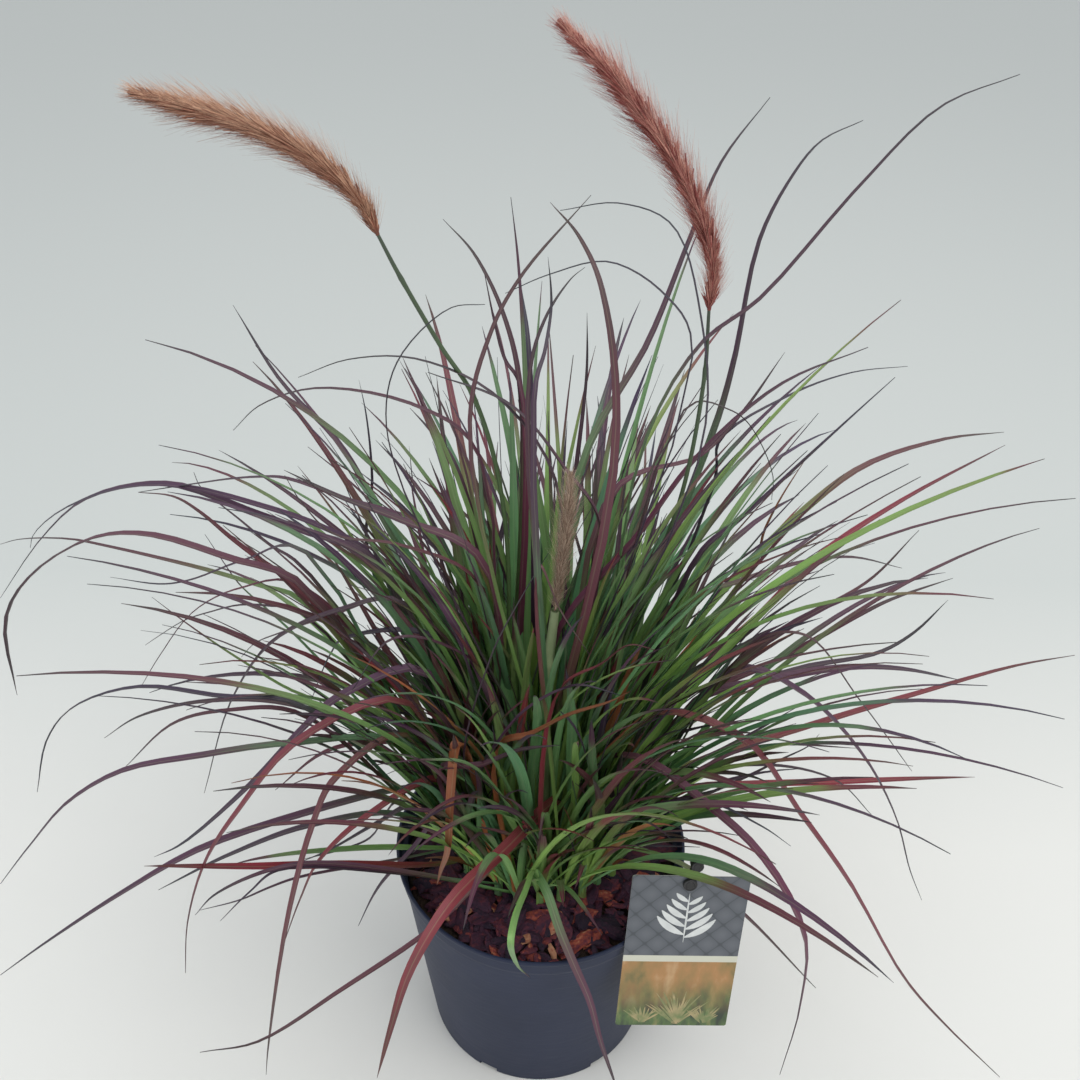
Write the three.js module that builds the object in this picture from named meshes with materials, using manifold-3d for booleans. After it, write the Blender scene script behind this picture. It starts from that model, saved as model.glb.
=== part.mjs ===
// Potted ornamental grass: a nursery pot with soil and bark, a clump of arching two-coloured
// blades, three bristly flower plumes on thin stalks, and a label clipped to the rim.
// Millimetres, +Z up. The origin is the centre of the pot's base, and the front looks along -Y.

import * as THREE from 'three';
import { mergeVertices } from 'three/addons/utils/BufferGeometryUtils.js';
import Module from 'manifold-3d';

const wasm = await Module();
wasm.setup();

// Clearance between pieces that touch
const SEAT_GAP = 0.3;

// Where blades join their stem: edges shorter than SLIVER are merged away, and a blade is refused
// if a triangle of it would have a smaller area than LEAST_FACE
const SLIVER = 0.02;
const LEAST_FACE = 0.0001;

// Diagonals closer in length than this count as equal, so that a quad is always split the same way
const SAME_LENGTH = 1e-6;

// Pot
const POT = {
  height: 162.6,
  rimRadius: 95,
  baseRadius: 76.7,
  wall: 2,
  floor: 3,
  rimBand: 15,
  rimStep: 3.2,
  rimLip: 2.2,
  bevel: 1,
  edgeRound: 0.5,
  sides: 32,
};
const DRAIN = { count: 6, width: 13, depth: 7, height: 5, turn: 4 };

// Soil and bark
const SOIL = { top: 143, holeDepth: 12 };
const BARK = {
  thickness: 2.5,
  count: 36,
  length: 22,
  width: 16,
  height: 6,
  innerScale: 1.16,
  bedSegments: 10,
  bedInset: 1,
  reach: 0.66,
  sizes: [0.7, 1.1],
  scatter: 10,
  pitch: [-0.3, 0.3],
  roll: [-0.22, 0.22],
  rise: [0, 2.5],
  cornerNudge: 0.2,
  seed: 7,
};

// Crown: the patch of soil that the shoots grow from, and its rings of shoots
const CROWN = { radiusX: 50, radiusY: 41, turnScatter: 0.3, spread: [0.95, 1.04] };
const RINGS = [
  { name: 'core', count: 1, radius: 0, lean: 2 },
  { name: 'inner', count: 8, radius: 0.36, lean: 8 },
  { name: 'middle', count: 14, radius: 0.69, lean: 16 },
  { name: 'outer', count: 22, radius: 1, lean: 28 },
];
const STEM = {
  radius: 2.8,
  topRadius: 1.1,
  slots: 6,
  straight: 15,
  height: 3,
  slotInset: 0.18,
  slotSink: 0.3,
  heart: 0.3,
};

// Blades
const BLADE = {
  keelDepth: 0.75,
  edgeLift: 0.35,
  rings: 5,
  leadRings: 7,
  clearance: 0.5,
  attempts: 30,
  floorClearance: 9,
  slotTurn: 80,
  slotTurnCost: 0.5,
  crowdCost: 8,
  headingStep: 1.5,
  leastOutward: 0.1,
  leastOnward: 0.2,
  crossingCost: 22,
  longest: 620,
  width: [3.2, 7],
  roll: [-35, 35],
  scatter: [-14, 14],
  sway: [-16, 16],
  bend: [1.1, 2.2],
  turnMargin: 15,
  finePerRing: 4,
  seed: 77,
};

// Flower stalks and plumes
const CULM = { radius: 1.5, sides: 6, steps: 9 };
const PLUME = {
  coreRadius: 4.6,
  coreSides: 5,
  coreSteps: 10,
  spikelets: 74,
  spikeletLength: 19,
  spikeletRadius: 1.1,
  spikeletLean: 27,
  spikeletSpan: [0.04, 0.985],
  leanScatter: [0.75, 1.25],
  lengthScatter: [0.8, 1.15],
  leastShare: 0.55,
};

// Label and its clip, in the label's own frame: x to its right, y to its back, z up
const TAG = {
  width: 70,
  height: 119,
  thickness: 0.8,
  corner: 1.5,
  cornerSteps: 3,
  centre: [85.8, -81.2, 155.1],
  yaw: 2.9,
  pitch: -11,
  roll: 3.1,
  holeRadius: 2.6,
  holeX: -1,
  holeZ: 54.5,
};
const CLIP = {
  sides: 8,
  pinRadius: 2.2,
  knobRadius: 4.2,
  knobDepth: 2,
  topKnobRadius: 3.78,
  armRadius: 2.2,
  armSides: 4,
  armBack: 4,
  topKnob: [2.4, 66],
  azimuth: -42,
  plate: 2.4,
  hookWidth: 8,
  hookDrop: 12,
  hookInnerDrop: 5,
};

// The camera that took the photograph, worked out from the pot's outline
const CAMERA = {
  eye: new THREE.Vector3(-3.6, -476.5, 741.2),
  pitch: 35.37,
  roll: 0.91,
  focal: 1092.6,
  centre: 540,
};

const GOLDEN_ANGLE = 137.508;
const UP = new THREE.Vector3(0, 0, 1);

const radians = THREE.MathUtils.degToRad;
const lerp = THREE.MathUtils.lerp;

// A unit vector in the ground plane at an angle from +X
function heading(degrees) {
  return new THREE.Vector3(Math.cos(radians(degrees)), Math.sin(radians(degrees)), 0);
}

// Repeatable random numbers from 0 to 1 for a whole-number seed
function randomFrom(seed) {
  let state = Math.imul(seed, 2654435761) >>> 0;
  return () => {
    state = (state + 0x6d2b79f5) >>> 0;
    let mixed = Math.imul(state ^ (state >>> 15), state | 1);
    mixed ^= mixed + Math.imul(mixed ^ (mixed >>> 7), mixed | 61);
    return ((mixed ^ (mixed >>> 14)) >>> 0) / 4294967296;
  };
}

// Reading the photograph: the direction from the camera through a pixel
function pixelDirection(x, y) {
  const forward = new THREE.Vector3(0, Math.cos(radians(CAMERA.pitch)), -Math.sin(radians(CAMERA.pitch)));
  const right = new THREE.Vector3(1, 0, 0);
  const up = right.clone().cross(forward);
  right.applyAxisAngle(forward, -radians(CAMERA.roll));
  up.applyAxisAngle(forward, -radians(CAMERA.roll));
  return forward
    .multiplyScalar(CAMERA.focal)
    .addScaledVector(right, x - CAMERA.centre)
    .addScaledVector(up, CAMERA.centre - y)
    .normalize();
}

// The point that a pixel shows on the upright plane through a root, towards a heading
function pixelOnPlane(x, y, root, toward) {
  const ray = new THREE.Ray(CAMERA.eye, pixelDirection(x, y));
  const normal = heading(toward + 90);
  const plane = new THREE.Plane().setFromNormalAndCoplanarPoint(normal, root);
  return ray.intersectPlane(plane, new THREE.Vector3());
}

// Blades read off the photograph: the ring they grow in, the heading they bend to in degrees,
// their width, and pixels from near the root to the tip as x, y pairs
const LEAD_BLADES = [
  ['outer', 165, 4.5, [375, 560, 320, 527, 260, 506, 180, 486, 120, 488, 60, 511, 33, 535, 30, 548]],
  ['outer', 171, 5.5, [380, 565, 300, 530, 250, 512, 180, 487, 130, 487, 80, 503, 40, 540, 0, 598]],
  ['outer', 174, 7, [300, 585, 230, 560, 150, 536, 95, 538, 35, 572, 6, 620, 17, 695]],
  ['outer', 165, 4.5, [300, 600, 260, 587, 210, 572, 160, 559, 110, 547, 70, 539, 20, 539, 0, 544]],
  ['middle', 168, 6.5, [300, 590, 260, 560, 230, 537, 200, 512, 175, 497, 138, 492]],
  ['middle', 158, 4, [300, 565, 270, 545, 240, 520, 215, 500, 200, 486, 194, 472]],
  ['outer', 172, 2.6, [400, 720, 300, 695, 240, 660, 185, 622, 152, 597]],
  ['middle', 160, 2.4, [300, 640, 270, 612, 240, 585, 222, 560, 205, 534]],
  ['outer', 168, 3, [300, 549, 245, 560, 190, 580, 160, 584, 110, 577]],
  ['outer', 172, 2.6, [300, 585, 240, 588, 195, 610, 160, 655, 140, 688]],
  ['outer', 176, 4, [400, 602, 340, 610, 275, 640, 232, 700, 204, 793]],
  ['outer', 178, 4.5, [300, 706, 220, 697, 140, 687, 75, 706, 48, 738, 37, 792]],
  ['outer', 174, 4.5, [300, 707, 210, 701, 140, 716, 104, 738]],
  ['outer', 182, 3.5, [300, 714, 230, 711, 175, 723, 123, 769]],
  ['outer', 185, 5, [410, 745, 290, 745, 200, 757, 125, 770, 70, 800, 30, 845, 0, 884]],
  ['outer', 188, 6.5, [420, 670, 340, 697, 310, 722, 245, 790, 180, 845, 154, 857]],
  ['outer', 200, 6.5, [400, 700, 300, 740, 240, 810, 207, 860, 188, 920, 185, 973]],
  ['outer', 191, 7, [450, 790, 400, 790, 300, 815, 200, 850, 120, 895, 50, 940, 0, 975]],
  ['outer', 187, 6, [450, 863, 300, 866, 200, 866, 144, 866]],
  ['outer', 186, 5, [400, 815, 310, 825, 230, 855, 158, 890]],
  ['outer', 195, 4, [320, 862, 270, 870, 215, 895, 195, 915]],
  ['outer', 204, 3, [280, 870, 250, 892, 220, 921]],
  ['outer', 212, 4.5, [400, 735, 335, 780, 315, 820, 288, 915, 268, 1050, 266, 1075]],
  ['outer', 196, 6, [440, 780, 370, 815, 320, 860, 300, 900, 283, 945]],
  ['outer', 216, 4, [520, 845, 430, 930, 340, 992, 260, 1041, 200, 1052]],
  ['outer', 236, 8, [560, 800, 500, 855, 450, 905, 410, 970, 390, 1030, 377, 1078]],
  ['outer', 206, 5, [452, 790, 420, 840, 380, 885, 358, 926]],
  ['outer', 190, 5.5, [415, 805, 380, 822, 330, 850, 300, 862]],
  ['middle', 170, 5, [440, 640, 345, 638, 330, 655, 311, 700]],
  ['outer', 183, 5.5, [470, 745, 400, 742, 330, 750, 275, 790]],
  ['outer', -20, 7.5, [650, 715, 740, 738, 800, 815, 850, 885, 905, 980, 945, 1025, 1000, 1077]],
  ['outer', -5, 6.5, [740, 670, 800, 692, 860, 752, 895, 815, 910, 870, 922, 900]],
  ['outer', -35, 6.5, [600, 765, 640, 760, 705, 805, 760, 855, 803, 930, 800, 1005, 780, 1075]],
  ['outer', -18, 5, [620, 850, 680, 863, 740, 912, 816, 988]],
  ['outer', 6, 5.5, [690, 790, 740, 786, 870, 780, 975, 777]],
  ['outer', 12, 6.5, [640, 790, 700, 760, 800, 730, 900, 700, 1010, 667, 1075, 655]],
  ['outer', 13, 7, [700, 700, 760, 682, 840, 668, 900, 669, 960, 680]],
  ['outer', 20, 5, [720, 700, 800, 668, 880, 652, 915, 632, 948, 600]],
  ['middle', 16, 5.5, [700, 700, 780, 660, 860, 615, 890, 600, 953, 578]],
  ['middle', 24, 5, [700, 680, 800, 620, 870, 580, 919, 530]],
  ['outer', 22, 6, [650, 700, 750, 625, 815, 560, 900, 502, 1005, 445]],
  ['middle', 27, 6, [700, 620, 740, 575, 800, 515, 860, 468, 940, 440, 1004, 432]],
  ['middle', 22, 5.5, [700, 555, 740, 520, 810, 455, 895, 377]],
  ['middle', 32, 4, [755, 560, 765, 530, 780, 500, 808, 455]],
  ['outer', 14, 4, [700, 600, 740, 582, 800, 563, 850, 557, 902, 568]],
  ['middle', 12, 7, [555, 645, 640, 535, 700, 455, 780, 385, 868, 347]],
  ['inner', 30, 5, [615, 490, 700, 455, 740, 415, 785, 352]],
  ['inner', 26, 2.4, [715, 480, 720, 440, 790, 395, 850, 373, 908, 366]],
  ['inner', 10, 2.4, [690, 405, 730, 410, 750, 425, 773, 475, 772, 500]],
  ['outer', 4, 2.6, [760, 640, 805, 635, 860, 700, 912, 771]],
  ['outer', -2, 3, [700, 775, 770, 765, 835, 780, 873, 816]],
  ['outer', 3, 3.5, [720, 760, 770, 745, 856, 748]],
  ['outer', 10, 4, [680, 770, 740, 740, 797, 707]],
  ['outer', -14, 3, [600, 840, 700, 800, 760, 825, 791, 846]],
  ['outer', -6, 5, [620, 815, 680, 800, 735, 785]],
  ['middle', 20, 4, [640, 460, 700, 345, 760, 298, 860, 185, 940, 107, 1020, 74]],
  ['inner', 28, 6.5, [715, 430, 735, 360, 760, 240, 790, 180, 820, 142, 863, 120]],
  ['inner', 45, 5.5, [580, 470, 650, 340, 690, 240, 720, 165, 770, 97]],
  ['inner', 150, 2.6, [700, 450, 699, 310, 672, 225, 620, 203, 560, 210]],
  ['inner', 160, 2.6, [692, 345, 665, 295, 610, 262, 550, 274, 505, 293]],
  ['inner', 120, 6, [615, 440, 602, 290, 580, 238, 550, 202]],
  ['inner', 60, 4, [583, 420, 587, 370, 587, 313]],
  ['inner', 35, 4.5, [470, 430, 490, 335, 520, 278, 591, 195]],
  ['inner', 110, 4.5, [525, 400, 523, 340, 518, 260, 511, 197]],
  ['middle', 140, 5.5, [520, 400, 505, 320, 475, 255, 443, 219]],
  ['middle', 130, 5.5, [520, 385, 505, 360, 495, 325, 484, 270]],
  ['inner', 50, 4.5, [530, 380, 545, 320, 570, 280, 585, 267]],
  ['middle', 8, 3, [400, 480, 386, 410, 400, 357, 450, 308, 485, 304]],
  ['middle', 165, 4, [560, 500, 500, 400, 420, 360, 350, 359, 298, 377]],
  ['middle', 170, 4.5, [475, 450, 420, 408, 320, 388, 260, 405, 233, 430]],
  ['middle', 150, 5, [430, 610, 372, 500, 340, 445, 280, 380, 233, 305]],
  ['middle', 160, 7, [470, 600, 430, 540, 400, 505, 360, 472]],
  ['middle', 172, 8, [480, 560, 400, 520, 340, 497, 284, 470]],
  ['middle', 175, 6, [480, 585, 400, 545, 335, 535, 300, 500, 285, 475]],
  ['inner', 185, 8, [600, 530, 565, 470, 510, 405, 428, 372]],
  ['middle', 155, 3, [370, 560, 372, 480, 366, 415, 359, 380]],
  ['middle', 195, 4, [500, 690, 430, 640, 390, 640, 352, 690]],
];

// Turns one closed three.js geometry into a solid that can be joined and cut
function toSolid(geometry) {
  const bare = geometry.clone();
  bare.deleteAttribute('normal');
  bare.deleteAttribute('uv');
  const merged = mergeVertices(bare, 1e-4);
  const corners = merged.index.array;
  const kept = [];
  for (let k = 0; k < corners.length; k += 3) {
    const [a, b, c] = [corners[k], corners[k + 1], corners[k + 2]];
    if (a !== b && b !== c && c !== a) {
      kept.push(a, b, c);
    }
  }
  const mesh = new wasm.Mesh({
    numProp: 3,
    vertProperties: new Float32Array(merged.attributes.position.array),
    triVerts: new Uint32Array(kept),
  });
  return new wasm.Manifold(mesh);
}

// Turns a solid back into a three.js geometry
function toGeometry(solid) {
  const mesh = solid.getMesh();
  const geometry = new THREE.BufferGeometry();
  geometry.setAttribute('position', new THREE.BufferAttribute(mesh.vertProperties, 3));
  geometry.setIndex(new THREE.BufferAttribute(mesh.triVerts, 1));
  geometry.computeVertexNormals();
  return geometry;
}

// Joins a list of solids into one body: sealed hollows are filled and loose scraps dropped
function joined(solids) {
  const pieces = solids.reduce((whole, solid) => whole.add(solid)).decompose();
  return pieces.reduce((main, piece) => (piece.volume() > main.volume() ? piece : main));
}

// A closed skin over rings of points; each ring turns right-handed about the way they run, a
// ring of one point is a tip, and every quad is split along its shorter diagonal
function skin(rings) {
  const positions = [];
  const indices = [];
  const starts = rings.map((ring) => {
    const start = positions.length / 3;
    ring.forEach((point) => positions.push(point.x, point.y, point.z));
    return start;
  });
  for (let r = 1; r < rings.length; r += 1) {
    const sides = rings[r - 1].length;
    for (let k = 0; k < sides; k += 1) {
      const a = starts[r - 1] + k;
      const b = starts[r - 1] + ((k + 1) % sides);
      if (rings[r].length === 1) {
        indices.push(a, b, starts[r]);
      } else {
        const c = starts[r] + ((k + 1) % sides);
        const d = starts[r] + k;
        const [near, next] = [rings[r - 1], rings[r]];
        const rising = near[k].distanceTo(next[(k + 1) % sides]);
        const falling = near[(k + 1) % sides].distanceTo(next[k]);
        if (rising <= falling + SAME_LENGTH) {
          indices.push(a, b, c, a, c, d);
        } else {
          indices.push(a, b, d, b, c, d);
        }
      }
    }
  }
  for (let k = 2; k < rings[0].length; k += 1) {
    indices.push(0, k, k - 1);
  }
  const last = starts[rings.length - 1];
  for (let k = 2; k < rings[rings.length - 1].length; k += 1) {
    indices.push(last, last + k - 1, last + k);
  }
  const geometry = new THREE.BufferGeometry();
  geometry.setAttribute('position', new THREE.Float32BufferAttribute(positions, 3));
  geometry.setIndex(indices);
  return geometry;
}

// Unit tangents along a list of points
function tangents(points) {
  return points.map((point, i) => {
    const before = points[Math.max(i - 1, 0)];
    const after = points[Math.min(i + 1, points.length - 1)];
    return after.clone().sub(before).normalize();
  });
}

// A round rod or cone along points, with a radius for each; a zero radius ends it in a tip
function rod(points, radii, sides) {
  const along = tangents(points);
  const across = new THREE.Vector3(0.31, -0.95, 0.05);
  const rings = points.map((point, i) => {
    if (radii[i] === 0) {
      return [point];
    }
    across.addScaledVector(along[i], -across.dot(along[i])).normalize();
    const third = along[i].clone().cross(across);
    return Array.from({ length: sides }, (_, k) => {
      const turn = (k / sides) * Math.PI * 2;
      return point
        .clone()
        .addScaledVector(across, Math.cos(turn) * radii[i])
        .addScaledVector(third, Math.sin(turn) * radii[i]);
    });
  });
  return skin(rings);
}

// How wide a blade is along its length, as a share of its full width
const WIDTH_STOPS = [[0, 0.3], [0.2, 0.62], [0.4, 1], [0.62, 0.92], [0.82, 0.6], [0.94, 0.3], [1, 0]];

function widthShare(s) {
  const next = Math.max(WIDTH_STOPS.findIndex((stop) => stop[0] >= s), 1);
  const [s0, w0] = WIDTH_STOPS[next - 1];
  const [s1, w1] = WIDTH_STOPS[next];
  return lerp(w0, w1, (s - s0) / (s1 - s0));
}

// The corners of a slot, begun at the one that twists a blade least on its way to a ring
function cornersTowards(ring, corners) {
  const twist = (shift) =>
    ring.reduce((sum, point, k) => sum + point.distanceToSquared(corners[(k + shift) % 3]), 0);
  const shift = [0, 1, 2].reduce((best, next) => (twist(next) < twist(best) ? next : best));
  return corners.map((_, k) => corners[(k + shift) % 3]);
}

// The rings of a keeled blade: it grows from a three-cornered slot on its stem, is flat above and
// ridged below, and ends in a point
function bladeRings({ slot, points, width, toward, sway, roll }) {
  const along = tangents(points);
  const last = points.length - 1;
  const rings = points.slice(1, last).map((point, i) => {
    const s = (i + 1) / last;
    const side = heading(toward + sway * s + 90);
    const face = along[i + 1].clone().cross(side).normalize();
    const tilt = radians(roll * s);
    const right = side.clone().multiplyScalar(Math.cos(tilt)).addScaledVector(face, Math.sin(tilt));
    const up = face.multiplyScalar(Math.cos(tilt)).addScaledVector(side, -Math.sin(tilt));
    const half = (width * widthShare(s)) / 2;
    return [
      point.clone().addScaledVector(right, half).addScaledVector(up, BLADE.edgeLift),
      point.clone().addScaledVector(right, -half).addScaledVector(up, BLADE.edgeLift),
      point.clone().addScaledVector(up, -BLADE.keelDepth),
    ];
  });
  return [cornersTowards(rings[0], slot.corners), ...rings, [points[last]]];
}

function centreOf(corners) {
  return corners.reduce((sum, corner) => sum.add(corner), new THREE.Vector3()).divideScalar(corners.length);
}

// Whether a tube of three-cornered rings is nowhere twisted so far that a face of it looks inward
function looksOut(rings) {
  const { index, attributes } = skin(rings);
  const middles = rings.map(centreOf);
  const ringOf = (vertex) => Math.floor(vertex / 3);
  for (let k = 0; k < index.count; k += 3) {
    const vertices = [0, 1, 2].map((i) => index.getX(k + i));
    const [near, far] = [Math.min(...vertices.map(ringOf)), Math.max(...vertices.map(ringOf))];
    const corners = vertices.map((vertex) =>
      new THREE.Vector3().fromBufferAttribute(attributes.position, vertex),
    );
    const share = vertices.filter((vertex) => ringOf(vertex) === far).length / 3;
    const middle = middles[near].clone().lerp(middles[far], share);
    const normal = new THREE.Triangle(...corners).getNormal(new THREE.Vector3());
    if (near !== far && normal.dot(centreOf(corners).sub(middle)) <= 0) {
      return false;
    }
  }
  return true;
}

// Whether a blade leaves its slot outward and nowhere turns back on itself
function keepsOn({ slot, points }) {
  const steps = points.slice(1).map((point, i) => point.clone().sub(points[i]).normalize());
  const onward = steps.slice(1).map((step, i) => step.dot(steps[i]));
  return steps[0].dot(slot.normal) > BLADE.leastOutward && Math.min(...onward) > BLADE.leastOnward;
}

// How far apart two headings are, in degrees, signed from the first to the second
function turnBetween(from, to) {
  return THREE.MathUtils.euclideanModulo(to - from + 180, 360) - 180;
}

// Shoots: where each one stands, which way it leans, and its short stem with slots for blades
function layOutShoots() {
  const shoots = [];
  for (const [r, ring] of RINGS.entries()) {
    for (let k = 0; k < ring.count; k += 1) {
      const random = randomFrom(100 * r + k + 1);
      const scatter = CROWN.turnScatter * (random() - 0.5);
      const around = ((k + 0.5 * (r % 2) + scatter) / ring.count) * 360;
      const spread = ring.radius * lerp(...CROWN.spread, random());
      const foot = heading(around).multiply(new THREE.Vector3(CROWN.radiusX, CROWN.radiusY, 0));
      foot.multiplyScalar(spread);
      const toward = THREE.MathUtils.radToDeg(Math.atan2(foot.y, foot.x));
      shoots.push({ ring, toward, foot, ...stemParts(foot, toward, ring.lean), count: 0 });
    }
  }
  return shoots;
}

// A stem: upright in its hole, with a blunt cone of triangles at its head; those that point up
// are the slots that blades grow from, three corners each
function stemParts(foot, toward, lean) {
  const n = STEM.slots;
  const ring = (centre, radius, axis, shift) => {
    const side = heading(toward + 90);
    const out = side.clone().cross(axis);
    return Array.from({ length: n }, (_, k) => {
      const turn = ((k + shift) / n) * Math.PI * 2;
      return centre
        .clone()
        .addScaledVector(out, Math.cos(turn) * radius)
        .addScaledVector(side, Math.sin(turn) * radius);
    });
  };
  const way = heading(toward).multiplyScalar(Math.sin(radians(lean)));
  way.addScaledVector(UP, Math.cos(radians(lean)));
  const knee = foot.clone().setZ(SOIL.top + STEM.straight);
  const bottom = ring(foot.clone().setZ(SOIL.top - SOIL.holeDepth + SEAT_GAP), STEM.radius, UP, 0);
  const lower = ring(knee, STEM.radius, UP, 0);
  const upper = ring(knee.clone().addScaledVector(way, STEM.height), STEM.topRadius, way, -0.5);
  const heart = knee.clone().addScaledVector(way, STEM.height * STEM.heart);
  const slots = lower.map((right, k) => {
    const sides = [right, lower[(k + 1) % n], upper[(k + 1) % n]];
    const root = centreOf(sides);
    const corners = sides.map((corner) =>
      corner.clone().lerp(root, STEM.slotInset).lerp(heart, STEM.slotSink),
    );
    const normal = new THREE.Triangle(...corners).getNormal(new THREE.Vector3());
    return { corners, normal, root, toward: toward + ((k + 0.5) / n) * 360, taken: false };
  });
  return { body: toSolid(skin([bottom, lower, upper])), slots };
}

// The free slot that suits a heading best, in a ring of shoots with a given name
function slotToward(shoots, ringName, toward) {
  let best = null;
  shoots
    .filter((shoot) => shoot.ring.name === ringName)
    .forEach((shoot) => {
      shoot.slots
        .filter((slot) => !slot.taken)
        .forEach((slot) => {
          const off = Math.abs(turnBetween(slot.toward, toward));
          const turn = Math.abs(turnBetween(shoot.toward, toward));
          const cost = turn + BLADE.slotTurnCost * off + BLADE.crowdCost * shoot.count;
          if (off < BLADE.slotTurn && (best === null || cost < best.cost)) {
            best = { shoot, slot, cost };
          }
        });
    });
  return best;
}

// One try at a blade read off the photograph; each try turns its heading a little further
function leadBlade(slot, lead, attempt) {
  const [, toward, width, pixels] = lead;
  const turned = toward + (attempt % 2 ? 1 : -1) * Math.ceil(attempt / 2) * BLADE.headingStep;
  const marks = pixelPath(pixels, slot.root, turned);
  if (marks.includes(null) || pathLength([slot.root, ...marks]) > BLADE.longest) {
    return null;
  }
  const curve = new THREE.CatmullRomCurve3([slot.root, ...marks], false, 'centripetal');
  return { slot, points: curve.getPoints(BLADE.leadRings), width, toward: turned, sway: 0, roll: 0 };
}

// Blades that follow the rule, for each ring: their length and how far they bend, out and in
const RING_BLADES = {
  core: { length: [300, 430], start: [2, 10], end: [30, 80] },
  inner: { length: [300, 430], start: [2, 13], end: [30, 95] },
  middle: { length: [260, 400], start: [4, 24], end: [40, 118] },
  outer: { length: [190, 370], start: [6, 48], end: [50, 135] },
};

// Blades at the front are shorter and steeper by these shares, so that the pot shows
const FRONT = { length: 0.7, start: 0.65, end: 0.6 };

// How much of a blade's bend comes from its place on the stem, not from chance
const OUTNESS = { start: 0.75, end: 0.55 };

// One try at a blade that follows its ring's rule: slots on the outside of a stem hold blades
// that bend far out, those on the inside hold upright ones
function ruledBlade(shoot, slot, seed) {
  const rule = RING_BLADES[shoot.ring.name];
  const random = randomFrom(seed);
  const inward = turnBetween(slot.toward, shoot.toward);
  const outness = 1 - Math.abs(inward) / 180;
  const mostTurn = BLADE.slotTurn - BLADE.turnMargin;
  const blend = THREE.MathUtils.clamp(inward / 2, -mostTurn, mostTurn);
  const toward = slot.toward + blend + lerp(...BLADE.scatter, random());
  const frontness = Math.max(0, -Math.sin(radians(toward))) ** 2;
  const length = lerp(...rule.length, random()) * lerp(1, FRONT.length, frontness);
  const startShare = lerp(random(), outness, OUTNESS.start);
  const start = lerp(...rule.start, startShare) * lerp(1, FRONT.start, frontness);
  const endShare = lerp(random(), outness, OUTNESS.end);
  const end = lerp(...rule.end, endShare) * lerp(1, FRONT.end, frontness);
  const bend = lerp(...BLADE.bend, random());
  const sway = lerp(...BLADE.sway, random());
  const points = [slot.root];
  const steps = BLADE.rings * BLADE.finePerRing;
  const place = slot.root.clone();
  for (let k = 0; k < steps; k += 1) {
    const s = (k + 0.5) / steps;
    const tilt = radians(lerp(start, end, s ** bend));
    const step = heading(toward + sway * s).multiplyScalar(Math.sin(tilt));
    place.addScaledVector(step.addScaledVector(UP, Math.cos(tilt)), length / steps);
    if ((k + 1) % BLADE.finePerRing === 0) {
      points.push(place.clone());
    }
  }
  const width = lerp(...BLADE.width, random());
  return { slot, points, width, toward, sway, roll: lerp(...BLADE.roll, random()) };
}

// A profile of [radius, height] pairs turned about the vertical axis
function lathed(profile, sides) {
  const points = profile.map(([radius, height]) => new THREE.Vector2(radius, height));
  return new THREE.LatheGeometry(points, sides).rotateX(Math.PI / 2);
}

// Outer radius of the pot's body at a height, without its rim band
function bodyRadius(height) {
  const top = POT.height - POT.rimBand;
  return lerp(POT.baseRadius, POT.rimRadius - POT.rimStep, Math.min(height, top) / top);
}

function potSolid() {
  const bandFoot = POT.height - POT.rimBand;
  const inner = POT.rimRadius - POT.wall;
  const shell = toSolid(
    lathed(
      [
        [0, 0],
        [POT.baseRadius - POT.bevel, 0],
        [bodyRadius(POT.bevel), POT.bevel],
        [bodyRadius(bandFoot), bandFoot],
        [POT.rimRadius - POT.rimLip, bandFoot + POT.bevel],
        [POT.rimRadius - POT.bevel, POT.height - POT.rimLip - POT.bevel],
        [POT.rimRadius, POT.height - POT.rimLip],
        [POT.rimRadius, POT.height - POT.edgeRound],
        [POT.rimRadius - POT.edgeRound, POT.height],
        [inner, POT.height],
        [inner - POT.bevel, bandFoot + POT.wall],
        [bodyRadius(bandFoot) - POT.wall, bandFoot],
        [bodyRadius(POT.floor) - POT.wall, POT.floor],
        [0, POT.floor],
      ],
      POT.sides,
    ),
  );
  return drainNotches().reduce((pot, notch) => pot.subtract(notch), shell);
}

// Drain notches that cut through the corner between wall and base
function drainNotches() {
  return Array.from({ length: DRAIN.count }, (_, k) => {
    const notch = new THREE.BoxGeometry(DRAIN.depth * 2, DRAIN.width, DRAIN.height * 2);
    const turn = radians(DRAIN.turn) + (k / DRAIN.count) * Math.PI * 2;
    notch.translate(POT.baseRadius, 0, 0).rotateZ(turn);
    return toSolid(notch);
  });
}

// Soil fills the pot up to its top, with a plain hole for each stem and stalk
function soilSolid(feet) {
  const foot = POT.floor + SEAT_GAP;
  const inset = POT.wall + SEAT_GAP;
  const fill = toSolid(
    lathed(
      [
        [0, foot],
        [bodyRadius(foot) - inset, foot],
        [bodyRadius(SOIL.top) - inset, SOIL.top],
        [0, SOIL.top],
      ],
      POT.sides,
    ),
  );
  return feet.reduce((soil, { point, radius, sides, turn }) => {
    const wide = radius + SEAT_GAP / Math.cos(Math.PI / sides);
    const hole = new THREE.CylinderGeometry(wide, wide, SOIL.holeDepth + 1, sides);
    hole.rotateX(Math.PI / 2).rotateZ(radians(turn + 90));
    hole.translate(point.x, point.y, SOIL.top + (1 - SOIL.holeDepth) / 2);
    return soil.subtract(toSolid(hole));
  }, fill);
}

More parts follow.
